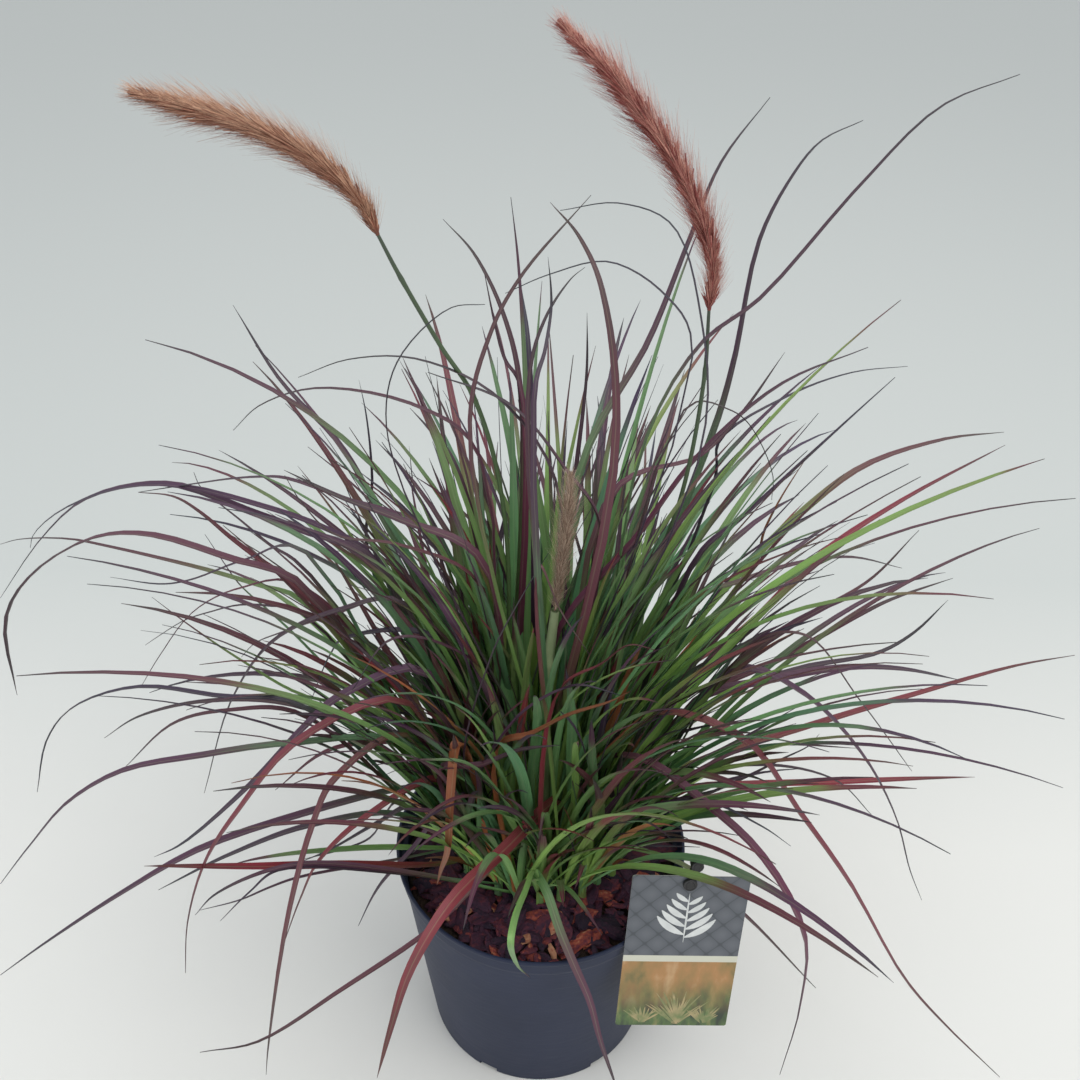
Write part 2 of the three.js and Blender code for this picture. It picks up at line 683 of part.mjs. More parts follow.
// Bark: a thin bed round the crown with larger-than-life chips lying on it at all angles
function barkSolid() {
  const outer = bodyRadius(SOIL.top) - POT.wall - BARK.bedInset;
  const bed = new THREE.Shape().absarc(0, 0, outer, 0, Math.PI * 2);
  const hole = new THREE.Path();
  const innerX = CROWN.radiusX * BARK.innerScale;
  const innerY = CROWN.radiusY * BARK.innerScale;
  hole.absellipse(0, 0, innerX, innerY, 0, Math.PI * 2, true);
  bed.holes.push(hole);
  const low = SOIL.top + SEAT_GAP;
  const plate = new THREE.ExtrudeGeometry(bed, {
    depth: BARK.thickness,
    bevelEnabled: false,
    curveSegments: BARK.bedSegments,
  }).translate(0, 0, low);
  const random = randomFrom(BARK.seed);
  const chips = Array.from({ length: BARK.count }, (_, k) => {
    const size = new THREE.Vector3(BARK.length, BARK.width, BARK.height);
    size.multiplyScalar(lerp(...BARK.sizes, random()));
    const chip = jitteredBox(size, random);
    const around = ((k * GOLDEN_ANGLE) % 360) + BARK.scatter * random();
    const start = Math.hypot(innerX * Math.cos(radians(around)), innerY * Math.sin(radians(around)));
    const reach = BARK.reach * Math.hypot(size.x, size.y);
    const radius = Math.min(lerp(start + reach, outer, random()), outer - reach);
    const place = heading(around).multiplyScalar(radius);
    chip.rotateX(lerp(...BARK.pitch, random())).rotateY(lerp(...BARK.roll, random()));
    chip.rotateZ(random() * Math.PI * 2);
    chip.translate(place.x, place.y, low + BARK.thickness + lerp(...BARK.rise, random()));
    return toSolid(chip);
  });
  const floor = toSolid(new THREE.BoxGeometry(3 * outer, 3 * outer, outer).translate(0, 0, low - outer / 2));
  return joined([toSolid(plate), ...chips.map((chip) => chip.subtract(floor))]);
}

// A box with its corners pushed about, as a torn chip of bark
function jitteredBox(size, random) {
  const box = new THREE.BoxGeometry(size.x, size.y, size.z);
  box.deleteAttribute('normal');
  box.deleteAttribute('uv');
  const chip = mergeVertices(box);
  const place = chip.attributes.position;
  for (let i = 0; i < place.count; i += 1) {
    const nudge = () => lerp(-BARK.cornerNudge, BARK.cornerNudge, random());
    place.setXYZ(
      i,
      place.getX(i) + size.x * nudge(),
      place.getY(i) + size.y * nudge(),
      place.getZ(i) + size.z * nudge(),
    );
  }
  return chip;
}

// Flower stalks and plumes: pixels of the stalk from the crown up, then of the plume to its tip
const STALKS = [
  {
    name: 'left',
    foot: [-26, 2],
    toward: 178,
    stalk: [505, 520, 475, 400, 440, 345, 398, 273, 378, 235],
    plume: [378, 235, 364, 207, 330, 172, 284, 142, 238, 122, 192, 109, 146, 96, 128, 92],
    fullness: 1,
  },
  {
    name: 'right',
    foot: [26, 3],
    toward: 2,
    stalk: [625, 640, 680, 500, 704, 380, 709, 310],
    plume: [709, 310, 713, 275, 708, 241, 697, 207, 681, 174, 662, 142, 612, 76, 577, 41, 558, 19.5],
    fullness: 1,
  },
  {
    name: 'young',
    foot: [1, -21.5],
    toward: 0,
    stalk: [545, 790, 546, 690, 555, 610],
    plume: [555, 610, 561, 570, 566, 530, 569, 500, 570, 472],
    fullness: 0.6,
  },
];

// How thick a plume is along its length, as a share of its full radius
function plumeShare(s) {
  return Math.min(1, 0.35 + 3.2 * s) * Math.min(1, 0.25 + 2.6 * (1 - s));
}

function pixelPath(pixels, root, toward) {
  const points = [];
  for (let k = 0; k < pixels.length; k += 2) {
    points.push(pixelOnPlane(pixels[k], pixels[k + 1], root, toward));
  }
  return points;
}

function culmSolid(stalk) {
  const foot = new THREE.Vector3(...stalk.foot, SOIL.top - SOIL.holeDepth + SEAT_GAP);
  const knee = foot.clone().setZ(SOIL.top + STEM.straight);
  const marks = pixelPath(stalk.stalk, foot, stalk.toward);
  const curve = new THREE.CatmullRomCurve3([knee, ...marks], false, 'centripetal');
  const points = [foot, ...curve.getSpacedPoints(CULM.steps)];
  return toSolid(rod(points, points.map(() => CULM.radius), CULM.sides));
}

// The point at a share of the way along evenly spaced points
function pointAlong(points, share) {
  const place = share * (points.length - 1);
  const k = Math.min(Math.floor(place), points.length - 2);
  return points[k].clone().lerp(points[k + 1], place - k);
}

// A plume: a slim core that bristly spikelets stand out of, all pointing forward
function plumeSolid(stalk) {
  const foot = new THREE.Vector3(...stalk.foot, 0);
  const marks = pixelPath(stalk.plume, foot, stalk.toward);
  const curve = new THREE.CatmullRomCurve3(marks, false, 'centripetal');
  const points = curve.getSpacedPoints(PLUME.coreSteps);
  const along = tangents(points);
  points[0].addScaledVector(along[0], SEAT_GAP);
  const radii = points.map((_, i) => {
    const s = i / PLUME.coreSteps;
    return s === 1 ? 0 : PLUME.coreRadius * stalk.fullness * plumeShare(s);
  });
  const core = toSolid(rod(points, radii, PLUME.coreSides));
  const count = Math.round(PLUME.spikelets * stalk.fullness ** 1.5);
  const random = randomFrom(stalk.name.length);
  const spikelets = Array.from({ length: count }, (_, k) => {
    const s = lerp(...PLUME.spikeletSpan, (k + 0.5) / count);
    const axis = curve.getTangentAt(s);
    const across = UP.clone().cross(axis).normalize();
    across.applyAxisAngle(axis, radians(k * GOLDEN_ANGLE));
    const lean = radians(PLUME.spikeletLean * lerp(...PLUME.leanScatter, random()));
    const way = axis.clone().multiplyScalar(Math.cos(lean)).addScaledVector(across, Math.sin(lean));
    const share = Math.max(PLUME.leastShare, plumeShare(s)) * lerp(...PLUME.lengthScatter, random());
    const length = PLUME.spikeletLength * share * Math.sqrt(stalk.fullness);
    const root = pointAlong(points, s);
    const tip = root.clone().addScaledVector(way, length);
    return toSolid(rod([root, tip], [PLUME.spikeletRadius, 0], 3));
  });
  return joined([core, ...spikelets]);
}

// The label's own frame in the world
function tagFrame() {
  const turn = new THREE.Euler(radians(TAG.pitch), radians(TAG.roll), radians(TAG.yaw), 'ZXY');
  const place = new THREE.Vector3(...TAG.centre);
  return new THREE.Matrix4().makeRotationFromEuler(turn).setPosition(place);
}

function tagGeometry() {
  const halfWidth = TAG.width / 2;
  const halfHeight = TAG.height / 2;
  const c = TAG.corner;
  const outline = new THREE.Shape();
  outline.absarc(halfWidth - c, halfHeight - c, c, 0, Math.PI / 2);
  outline.absarc(c - halfWidth, halfHeight - c, c, Math.PI / 2, Math.PI);
  outline.absarc(c - halfWidth, c - halfHeight, c, Math.PI, Math.PI * 1.5);
  outline.absarc(halfWidth - c, c - halfHeight, c, Math.PI * 1.5, Math.PI * 2);
  outline.holes.push(new THREE.Path().absarc(TAG.holeX, TAG.holeZ, TAG.holeRadius, 0, Math.PI * 2, true));
  return new THREE.ExtrudeGeometry(outline, {
    depth: TAG.thickness,
    bevelEnabled: false,
    curveSegments: TAG.cornerSteps,
  }).rotateX(Math.PI / 2).translate(0, TAG.thickness, 0);
}

// The clip: a pin with a knob through the label, an arm behind it, and a hook over the rim
function clipSolid() {
  const frame = tagFrame();
  const inTag = (x, y, z) => new THREE.Vector3(x, y, z).applyMatrix4(frame);
  const front = -SEAT_GAP;
  const pin = rod(
    [inTag(TAG.holeX, front - CLIP.knobDepth, TAG.holeZ), inTag(TAG.holeX, CLIP.armBack, TAG.holeZ)],
    [CLIP.pinRadius, CLIP.pinRadius],
    CLIP.sides,
  );
  const knob = rod(
    [inTag(TAG.holeX, front - CLIP.knobDepth, TAG.holeZ), inTag(TAG.holeX, front, TAG.holeZ)],
    [CLIP.knobRadius, CLIP.knobRadius],
    CLIP.sides,
  );
  const [topX, topZ] = CLIP.topKnob;
  const topKnob = rod(
    [inTag(topX, 0, topZ), inTag(topX, CLIP.armBack + 1, topZ)],
    [CLIP.topKnobRadius, CLIP.topKnobRadius],
    CLIP.sides,
  );
  const out = heading(CLIP.azimuth);
  const hookTop = POT.height + SEAT_GAP;
  const outside = POT.rimRadius + SEAT_GAP;
  const inside = POT.rimRadius - POT.wall - POT.bevel - 3 * SEAT_GAP;
  const arm = rod(
    [
      inTag(topX, CLIP.armBack, topZ),
      inTag(TAG.holeX, CLIP.armBack, TAG.holeZ),
      out.clone().multiplyScalar(outside + CLIP.plate / 2).setZ(hookTop + CLIP.plate / 2),
    ],
    [CLIP.armRadius, CLIP.armRadius, CLIP.armRadius],
    CLIP.armSides,
  );
  const plate = (from, to, low, high) => {
    const box = new THREE.BoxGeometry(to - from, CLIP.hookWidth, high - low);
    box.translate((from + to) / 2, 0, (low + high) / 2);
    return toSolid(box.rotateZ(radians(CLIP.azimuth)));
  };
  return joined([
    toSolid(pin),
    toSolid(knob),
    toSolid(topKnob),
    toSolid(arm),
    plate(outside, outside + CLIP.plate, hookTop - CLIP.hookDrop, hookTop + CLIP.plate),
    plate(inside - CLIP.plate, outside + CLIP.plate, hookTop, hookTop + CLIP.plate),
    plate(inside - CLIP.plate, inside, hookTop - CLIP.hookInnerDrop, hookTop + CLIP.plate),
  ]);
}

// Whether a solid keeps its distance from every one in a list
function isClear(solid, others) {
  const { min, max } = solid.boundingBox();
  const reach = BLADE.clearance;
  return others.every((other) => {
    const box = other.box;
    const near = [0, 1, 2].every((k) => min[k] - reach < box.max[k] && max[k] + reach > box.min[k]);
    return !near || solid.minGap(other.solid, reach) >= reach;
  });
}

function pathLength(points) {
  return points.slice(1).reduce((sum, point, i) => sum + point.distanceTo(points[i]), 0);
}

function withBox(solid, owner) {
  return { solid, owner, box: solid.boundingBox() };
}

// Whether a solid has no sliver of a triangle and no edge shared by more than two triangles
function isSound(solid) {
  const { vertProperties, triVerts } = solid.getMesh();
  const edges = new Map();
  for (let k = 0; k < triVerts.length; k += 3) {
    const corners = [0, 1, 2].map((i) => new THREE.Vector3().fromArray(vertProperties, 3 * triVerts[k + i]));
    if (new THREE.Triangle(...corners).getArea() < LEAST_FACE) {
      return false;
    }
    const keys = corners.map((corner) => corner.toArray().map((value) => value.toFixed(3)).join());
    for (let i = 0; i < 3; i += 1) {
      const edge = [keys[i], keys[(i + 1) % 3]].sort().join();
      edges.set(edge, (edges.get(edge) ?? 0) + 1);
      if (edges.get(edge) > 2) {
        return false;
      }
    }
  }
  return true;
}

// Grows a blade on a shoot: the first of its tries that clears all the other pieces is kept
function growBlade(grown, shoot, slot, tries) {
  const others = grown.filter((piece) => piece.owner !== shoot);
  for (let attempt = 0; attempt < BLADE.attempts; attempt += 1) {
    const blade = tries(attempt);
    const lowest = blade ? Math.min(...blade.points.map((point) => point.z)) : 0;
    const rings = blade && lowest > BLADE.floorClearance && keepsOn(blade) ? bladeRings(blade) : null;
    if (rings && looksOut(rings)) {
      const solid = toSolid(skin(rings));
      const body = joined([shoot.body.add(solid)]).simplify(SLIVER);
      const extra = body.numTri() - shoot.body.numTri() - solid.numTri();
      if (extra <= BLADE.crossingCost && isClear(solid, others) && isSound(body)) {
        shoot.body = body;
        shoot.count += 1;
        slot.taken = true;
        grown.push(withBox(solid, shoot));
        return;
      }
    }
  }
}

// Grows every shoot: the blades seen in the photograph first, then one by rule in each free slot
function growShoots(fixed) {
  const shoots = layOutShoots();
  const grown = [...fixed, ...shoots.map((shoot) => withBox(shoot.body, shoot))];
  LEAD_BLADES.forEach((lead) => {
    const { shoot, slot } = slotToward(shoots, lead[0], lead[1]);
    growBlade(grown, shoot, slot, (attempt) => leadBlade(slot, lead, attempt));
  });
  shoots.forEach((shoot, k) => {
    shoot.slots.forEach((slot, index) => {
      if (!slot.taken) {
        const seed = 10000 * (k + BLADE.seed) + 100 * index;
        growBlade(grown, shoot, slot, (attempt) => ruledBlade(shoot, slot, seed + attempt));
      }
    });
  });
  return shoots;
}

const COLOURS = {
  pot: 0x3b434c,
  soil: 0x2a1d18,
  bark: 0x5a2e24,
  culm: 0x3d4a2c,
  plume: 0xa8796a,
  youngPlume: 0xb79f80,
  tag: 0x5d6468,
  clip: 0x16181a,
  core: 0x4f7a2c,
  inner: 0x557a30,
  middle: 0x5b5a34,
  outer: 0x54303a,
};

function named(name, geometry, colour, roughness = 0.7) {
  const material = new THREE.MeshStandardMaterial({ color: colour, roughness, metalness: 0 });
  const mesh = new THREE.Mesh(geometry, material);
  mesh.name = name;
  return mesh;
}

const pot = potSolid();
const bark = barkSolid();
const culms = STALKS.map(culmSolid);
const plumes = STALKS.map(plumeSolid);
const clip = clipSolid();
const tag = tagGeometry();
const tagSolid = toSolid(tag.clone().applyMatrix4(tagFrame()));
const fixed = [pot, bark, ...culms, ...plumes, clip, tagSolid].map((solid) => withBox(solid, null));
const shoots = growShoots(fixed);
const feet = [
  ...shoots.map((shoot) => ({
    point: shoot.foot,
    radius: STEM.radius,
    sides: STEM.slots,
    turn: shoot.toward,
  })),
  ...STALKS.map((stalk) => ({
    point: new THREE.Vector3(...stalk.foot, 0),
    radius: CULM.radius,
    sides: CULM.sides,
    turn: 0,
  })),
];

const plant = new THREE.Group();
plant.add(named('pot', toGeometry(pot), COLOURS.pot, 0.55));
plant.add(named('soil', toGeometry(soilSolid(feet)), COLOURS.soil, 0.95));
plant.add(named('bark_mulch', toGeometry(bark), COLOURS.bark, 0.9));
STALKS.forEach((stalk, k) => {
  const plumeColour = stalk.name === 'young' ? COLOURS.youngPlume : COLOURS.plume;
  plant.add(named(`culm_${stalk.name}`, toGeometry(culms[k]), COLOURS.culm));
  plant.add(named(`plume_${stalk.name}`, toGeometry(plumes[k]), plumeColour, 0.8));
});
shoots.forEach((shoot, k) => {
  const name = `shoot_${String(k + 1).padStart(2, '0')}`;
  plant.add(named(name, toGeometry(shoot.body), COLOURS[shoot.ring.name], 0.5));
});
const label = named('tag', tag, COLOURS.tag, 0.35);
label.applyMatrix4(tagFrame());
plant.add(label);
plant.add(named('tag_clip', toGeometry(clip), COLOURS.clip, 0.4));

export default plant;
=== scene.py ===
"""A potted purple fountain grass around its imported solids: leaves, plumes, bark, pot and label."""

import math

import bpy
import numpy as np
from mathutils import Matrix, Vector
from mathutils.geometry import tessellate_polygon


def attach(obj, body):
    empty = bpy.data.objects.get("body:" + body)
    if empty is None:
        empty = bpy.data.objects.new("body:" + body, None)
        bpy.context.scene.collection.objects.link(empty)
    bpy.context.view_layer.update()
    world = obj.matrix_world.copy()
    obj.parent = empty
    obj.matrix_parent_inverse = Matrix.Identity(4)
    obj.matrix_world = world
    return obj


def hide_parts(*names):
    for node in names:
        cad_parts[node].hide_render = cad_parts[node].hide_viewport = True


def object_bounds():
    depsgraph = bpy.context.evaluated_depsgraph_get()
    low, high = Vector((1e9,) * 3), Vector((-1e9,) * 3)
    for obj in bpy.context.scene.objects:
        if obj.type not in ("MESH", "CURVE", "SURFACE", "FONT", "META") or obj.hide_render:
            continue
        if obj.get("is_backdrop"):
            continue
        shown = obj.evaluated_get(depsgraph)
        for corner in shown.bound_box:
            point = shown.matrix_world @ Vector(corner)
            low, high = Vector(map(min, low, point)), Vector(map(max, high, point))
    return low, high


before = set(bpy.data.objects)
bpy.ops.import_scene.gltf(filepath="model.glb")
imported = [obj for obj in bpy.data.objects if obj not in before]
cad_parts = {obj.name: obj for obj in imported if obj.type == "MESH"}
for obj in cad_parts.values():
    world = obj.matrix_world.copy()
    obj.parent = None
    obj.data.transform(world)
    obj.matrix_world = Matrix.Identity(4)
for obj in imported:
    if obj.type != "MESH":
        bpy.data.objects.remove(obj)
bpy.context.view_layer.update()
CAD_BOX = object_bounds()

# Lengths are in millimetres and angles in degrees, but for the lights and the materials, which are
# in metres
MM = 0.001

# Sizes and rules that the solids use too. The rings of the clump go from its middle outward: how
# many shoots, their share of the crown's radius, and their lean
POT = {"height": 162.6, "rim": 95.0, "base": 76.7, "wall": 2.0, "band": 15.0, "step": 3.2}
SOIL_TOP = 143.0
CROWN = (50.0, 41.0)
RINGS = [("core", 1, 0.0, 2), ("inner", 8, 0.36, 8), ("middle", 14, 0.69, 16), ("outer", 22, 1.0, 28)]
STEM = {"radius": 2.8, "top": 1.1, "slots": 6, "straight": 15.0, "height": 3.0}
SLOT_TURN = 80.0
TRIES, TRY_TURN = 30, 1.5
LONGEST = 620.0
SEED = 77
LEAD_STEPS, RULED_STEPS, FILLER_STEPS = 26, 20, 14
SAME_PLACE = 0.05

# The camera that took the photograph, worked out from the pot's outline; focal length, centre and
# width are in pixels
EYE = np.array([-3.6, -476.5, 741.2])
PITCH, ROLL, FOCAL, CENTRE, FRAME_WIDTH = 35.37, 0.91, 1092.6, 540.0, 1080.0


def heading(degrees):
    """A unit vector in the ground plane at an angle from +X."""
    return np.array([math.cos(math.radians(degrees)), math.sin(math.radians(degrees)), 0.0])


def leaning(toward, tilt):
    """A unit vector that leans from upright towards a heading."""
    way = heading(toward) * math.sin(math.radians(tilt))
    way[2] = math.cos(math.radians(tilt))
    return way


def unit(vector):
    return vector / np.linalg.norm(vector)


def unit_rows(vectors):
    return vectors / np.linalg.norm(vectors, axis=1)[:, None]


def step_lengths(points):
    return np.linalg.norm(np.diff(points, axis=0), axis=1)


def reach_along(points):
    """How far along a path each of its points lies."""
    return np.concatenate([[0], np.cumsum(step_lengths(points))])


def camera_axes():
    pitch, roll = math.radians(PITCH), math.radians(ROLL)
    forward = np.array([0.0, math.cos(pitch), -math.sin(pitch)])
    right = np.array([1.0, 0.0, 0.0])
    up = np.cross(right, forward)
    c, s = math.cos(roll), math.sin(roll)
    return forward, c * right + s * up, -s * right + c * up


FORWARD, RIGHT, UPWARD = camera_axes()


def pixel_ray(x, y):
    return FORWARD * FOCAL + RIGHT * (x - CENTRE) + UPWARD * (CENTRE - y)


def pixel_on_plane(x, y, root, toward):
    """The point that a pixel shows on the upright plane through a root, towards a heading."""
    ray = unit(pixel_ray(x, y))
    normal = heading(toward + 90)
    distance = (root - EYE).dot(normal) / ray.dot(normal)
    return EYE + ray * distance if distance >= 0 else None


def pixel_path(pixels, root, toward):
    return [pixel_on_plane(pixels[k], pixels[k + 1], root, toward) for k in range(0, len(pixels), 2)]


def pixel_at_depth(x, y, before):
    """The point that a pixel shows at a distance before the pot's axis."""
    ray = pixel_ray(x, y)
    return EYE + ray * ((-before - EYE[1]) / ray[1])


MASK = 0xFFFFFFFF


def random_from(seed):
    """Repeatable random numbers from 0 to 1, the same ones that the solids were grown with."""
    state = (seed * 2654435761) & MASK

    def draw():
        nonlocal state
        state = (state + 0x6D2B79F5) & MASK
        mixed = ((state ^ (state >> 15)) * (state | 1)) & MASK
        mixed ^= (mixed + (mixed ^ (mixed >> 7)) * (mixed | 61)) & MASK
        return ((mixed ^ (mixed >> 14)) & MASK) / (MASK + 1)

    return draw


def lerp(a, b, t):
    return (1 - t) * a + t * b


def turn_between(a, b):
    return (b - a + 180) % 360 - 180


def lay_out_shoots():
    """Where each shoot stands, which way it leans, and the slots that its blades grow from."""
    shoots = []
    for r, (name, count, radius, lean) in enumerate(RINGS):
        for k in range(count):
            draw = random_from(100 * r + k + 1)
            around = ((k + 0.5 * (r % 2) + 0.3 * (draw() - 0.5)) / count) * 360
            spread = radius * lerp(0.95, 1.04, draw())
            foot = heading(around) * np.array([CROWN[0], CROWN[1], 0]) * spread
            toward = math.degrees(math.atan2(foot[1], foot[0]))
            shoots.append({"index": len(shoots), "ring": name, "toward": toward, "foot": foot, "count": 0,
                           "lean": lean, "slots": stem_slots(foot, toward, lean)})
    return shoots


def stem_slots(foot, toward, lean):
    """The places round the head of a stem that its blades grow from."""
    count = STEM["slots"]
    up = np.array([0.0, 0.0, 1.0])
    way = leaning(toward, lean)
    knee = foot + up * (SOIL_TOP + STEM["straight"])
    side = heading(toward + 90)

    def ring(centre, radius, axis, shift):
        out = np.cross(side, axis)
        turns = [(k + shift) / count * math.tau for k in range(count)]
        return [centre + out * math.cos(t) * radius + side * math.sin(t) * radius for t in turns]

    lower = ring(knee, STEM["radius"], up, 0)
    upper = ring(knee + way * STEM["height"], STEM["top"], way, -0.5)
    return [{"root": (lower[k] + lower[(k + 1) % count] + upper[(k + 1) % count]) / 3,
             "toward": toward + (k + 0.5) / count * 360, "taken": False} for k in range(count)]


def slot_toward(shoots, ring, toward, any_slot=False):
    """The free slot that suits a heading best, in one ring of shoots."""
    best = None
    for shoot in shoots:
        for slot in shoot["slots"]:
            if shoot["ring"] != ring or (slot["taken"] and not any_slot):
                continue
            off = abs(turn_between(slot["toward"], toward))
            cost = abs(turn_between(shoot["toward"], toward)) + 0.5 * off + 8 * shoot["count"]
            if off < SLOT_TURN and (best is None or cost < best[2]):
                best = (shoot, slot, cost)
    return best[0], best[1]


def smooth_curve(points, steps):
    """Points along a centripetal Catmull-Rom curve through some others."""
    p = np.array([2 * points[0] - points[1], *points, 2 * points[-1] - points[-2]])
    last = len(points) - 1
    out = []
    for i in range(steps + 1):
        place = last * i / steps
        k = min(int(place), last - 1)
        w = place - k
        p0, p1, p2, p3 = p[k:k + 4]
        d0, d1, d2 = (max(np.linalg.norm(b - a), 1e-6) ** 0.5 for a, b in ((p0, p1), (p1, p2), (p2, p3)))
        t1 = ((p1 - p0) / d0 - (p2 - p0) / (d0 + d1) + (p2 - p1) / d1) * d1
        t2 = ((p2 - p1) / d1 - (p3 - p1) / (d1 + d2) + (p3 - p2) / d2) * d1
        out.append(p1 + t1 * w + (-3 * p1 + 3 * p2 - 2 * t1 - t2) * w**2 + (2 * p1 - 2 * p2 + t1 + t2) * w**3)
    return np.array(out)


def lead_paths(slot, row):
    """The line of a blade read off the photograph, and more that turn its heading step by step."""
    for attempt in range(TRIES):
        toward = row[2] + (1 if attempt % 2 else -1) * math.ceil(attempt / 2) * TRY_TURN
        marks = pixel_path(row[4], slot["root"], toward)
        if any(mark is None for mark in marks) or step_lengths([slot["root"], *marks]).sum() > LONGEST:
            continue
        yield {"points": smooth_curve([slot["root"], *marks], LEAD_STEPS), "tip": marks[-1], "toward": toward,
               "width": row[3], "roll": 0.0, "sway": 0.0}


# Blades that follow a rule, for each ring: their length, and their tilt from upright where they
# start and where they end
RING_BLADES = {
    "core": ((300, 430), (2, 10), (30, 80)),
    "inner": ((300, 430), (2, 13), (30, 95)),
    "middle": ((260, 400), (4, 24), (40, 118)),
    "outer": ((190, 370), (6, 48), (50, 135)),
}


def bent_path(root, toward, sway, length, start, end, bend, steps):
    """A line that starts at a tilt from upright and bends over towards another."""
    place = root.copy()
    points = [root.copy()]
    for k in range(steps):
        s = (k + 0.5) / steps
        place = place + leaning(toward + sway * s, lerp(start, end, s**bend)) * length / steps
        points.append(place)
    return np.array(points)


def front_share(toward):
    """1 for a blade that points straight at the camera, 0 for one at its side or behind."""
    return max(0.0, -math.sin(math.radians(toward))) ** 2


def fanning(shoot, slot):
    """How far a slot's blade turns back outward, and 1 where the slot faces outward, 0 inward."""
    inward = turn_between(slot["toward"], shoot["toward"])
    return min(max(inward / 2, -65), 65), 1 - abs(inward) / 180


def ruled_path(shoot, slot, seed):
    """The line of a blade that follows its ring's rule, as the solids grow it."""
    lengths, starts, ends = RING_BLADES[shoot["ring"]]
    draw = random_from(seed)
    blend, outness = fanning(shoot, slot)
    toward = slot["toward"] + blend + lerp(-14, 14, draw())
    front = front_share(toward)
    length = lerp(*lengths, draw()) * lerp(1, 0.7, front)
    start = lerp(*starts, 0.75 * outness + 0.25 * draw()) * lerp(1, 0.65, front)
    end = lerp(*ends, 0.55 * outness + 0.45 * draw()) * lerp(1, 0.6, front)
    bend = lerp(1.1, 2.2, draw())
    sway = lerp(-16, 16, draw())
    points = bent_path(slot["root"], toward, sway, length, start, end, bend, RULED_STEPS)
    width = lerp(3.2, 7, draw())
    return {"points": points, "tip": points[-1], "toward": toward, "width": width,
            "roll": lerp(-35, 35, draw()), "sway": sway}


def node_points(name):
    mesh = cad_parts[name].data
    points = np.empty(len(mesh.vertices) * 3, np.float32)
    mesh.vertices.foreach_get("co", points)
    return points.reshape(-1, 3) / MM


def grown(path, points):
    """Whether a solid's own vertices hold a blade's tip."""
    return np.abs(points - path["tip"]).max(axis=1).min() < SAME_PLACE


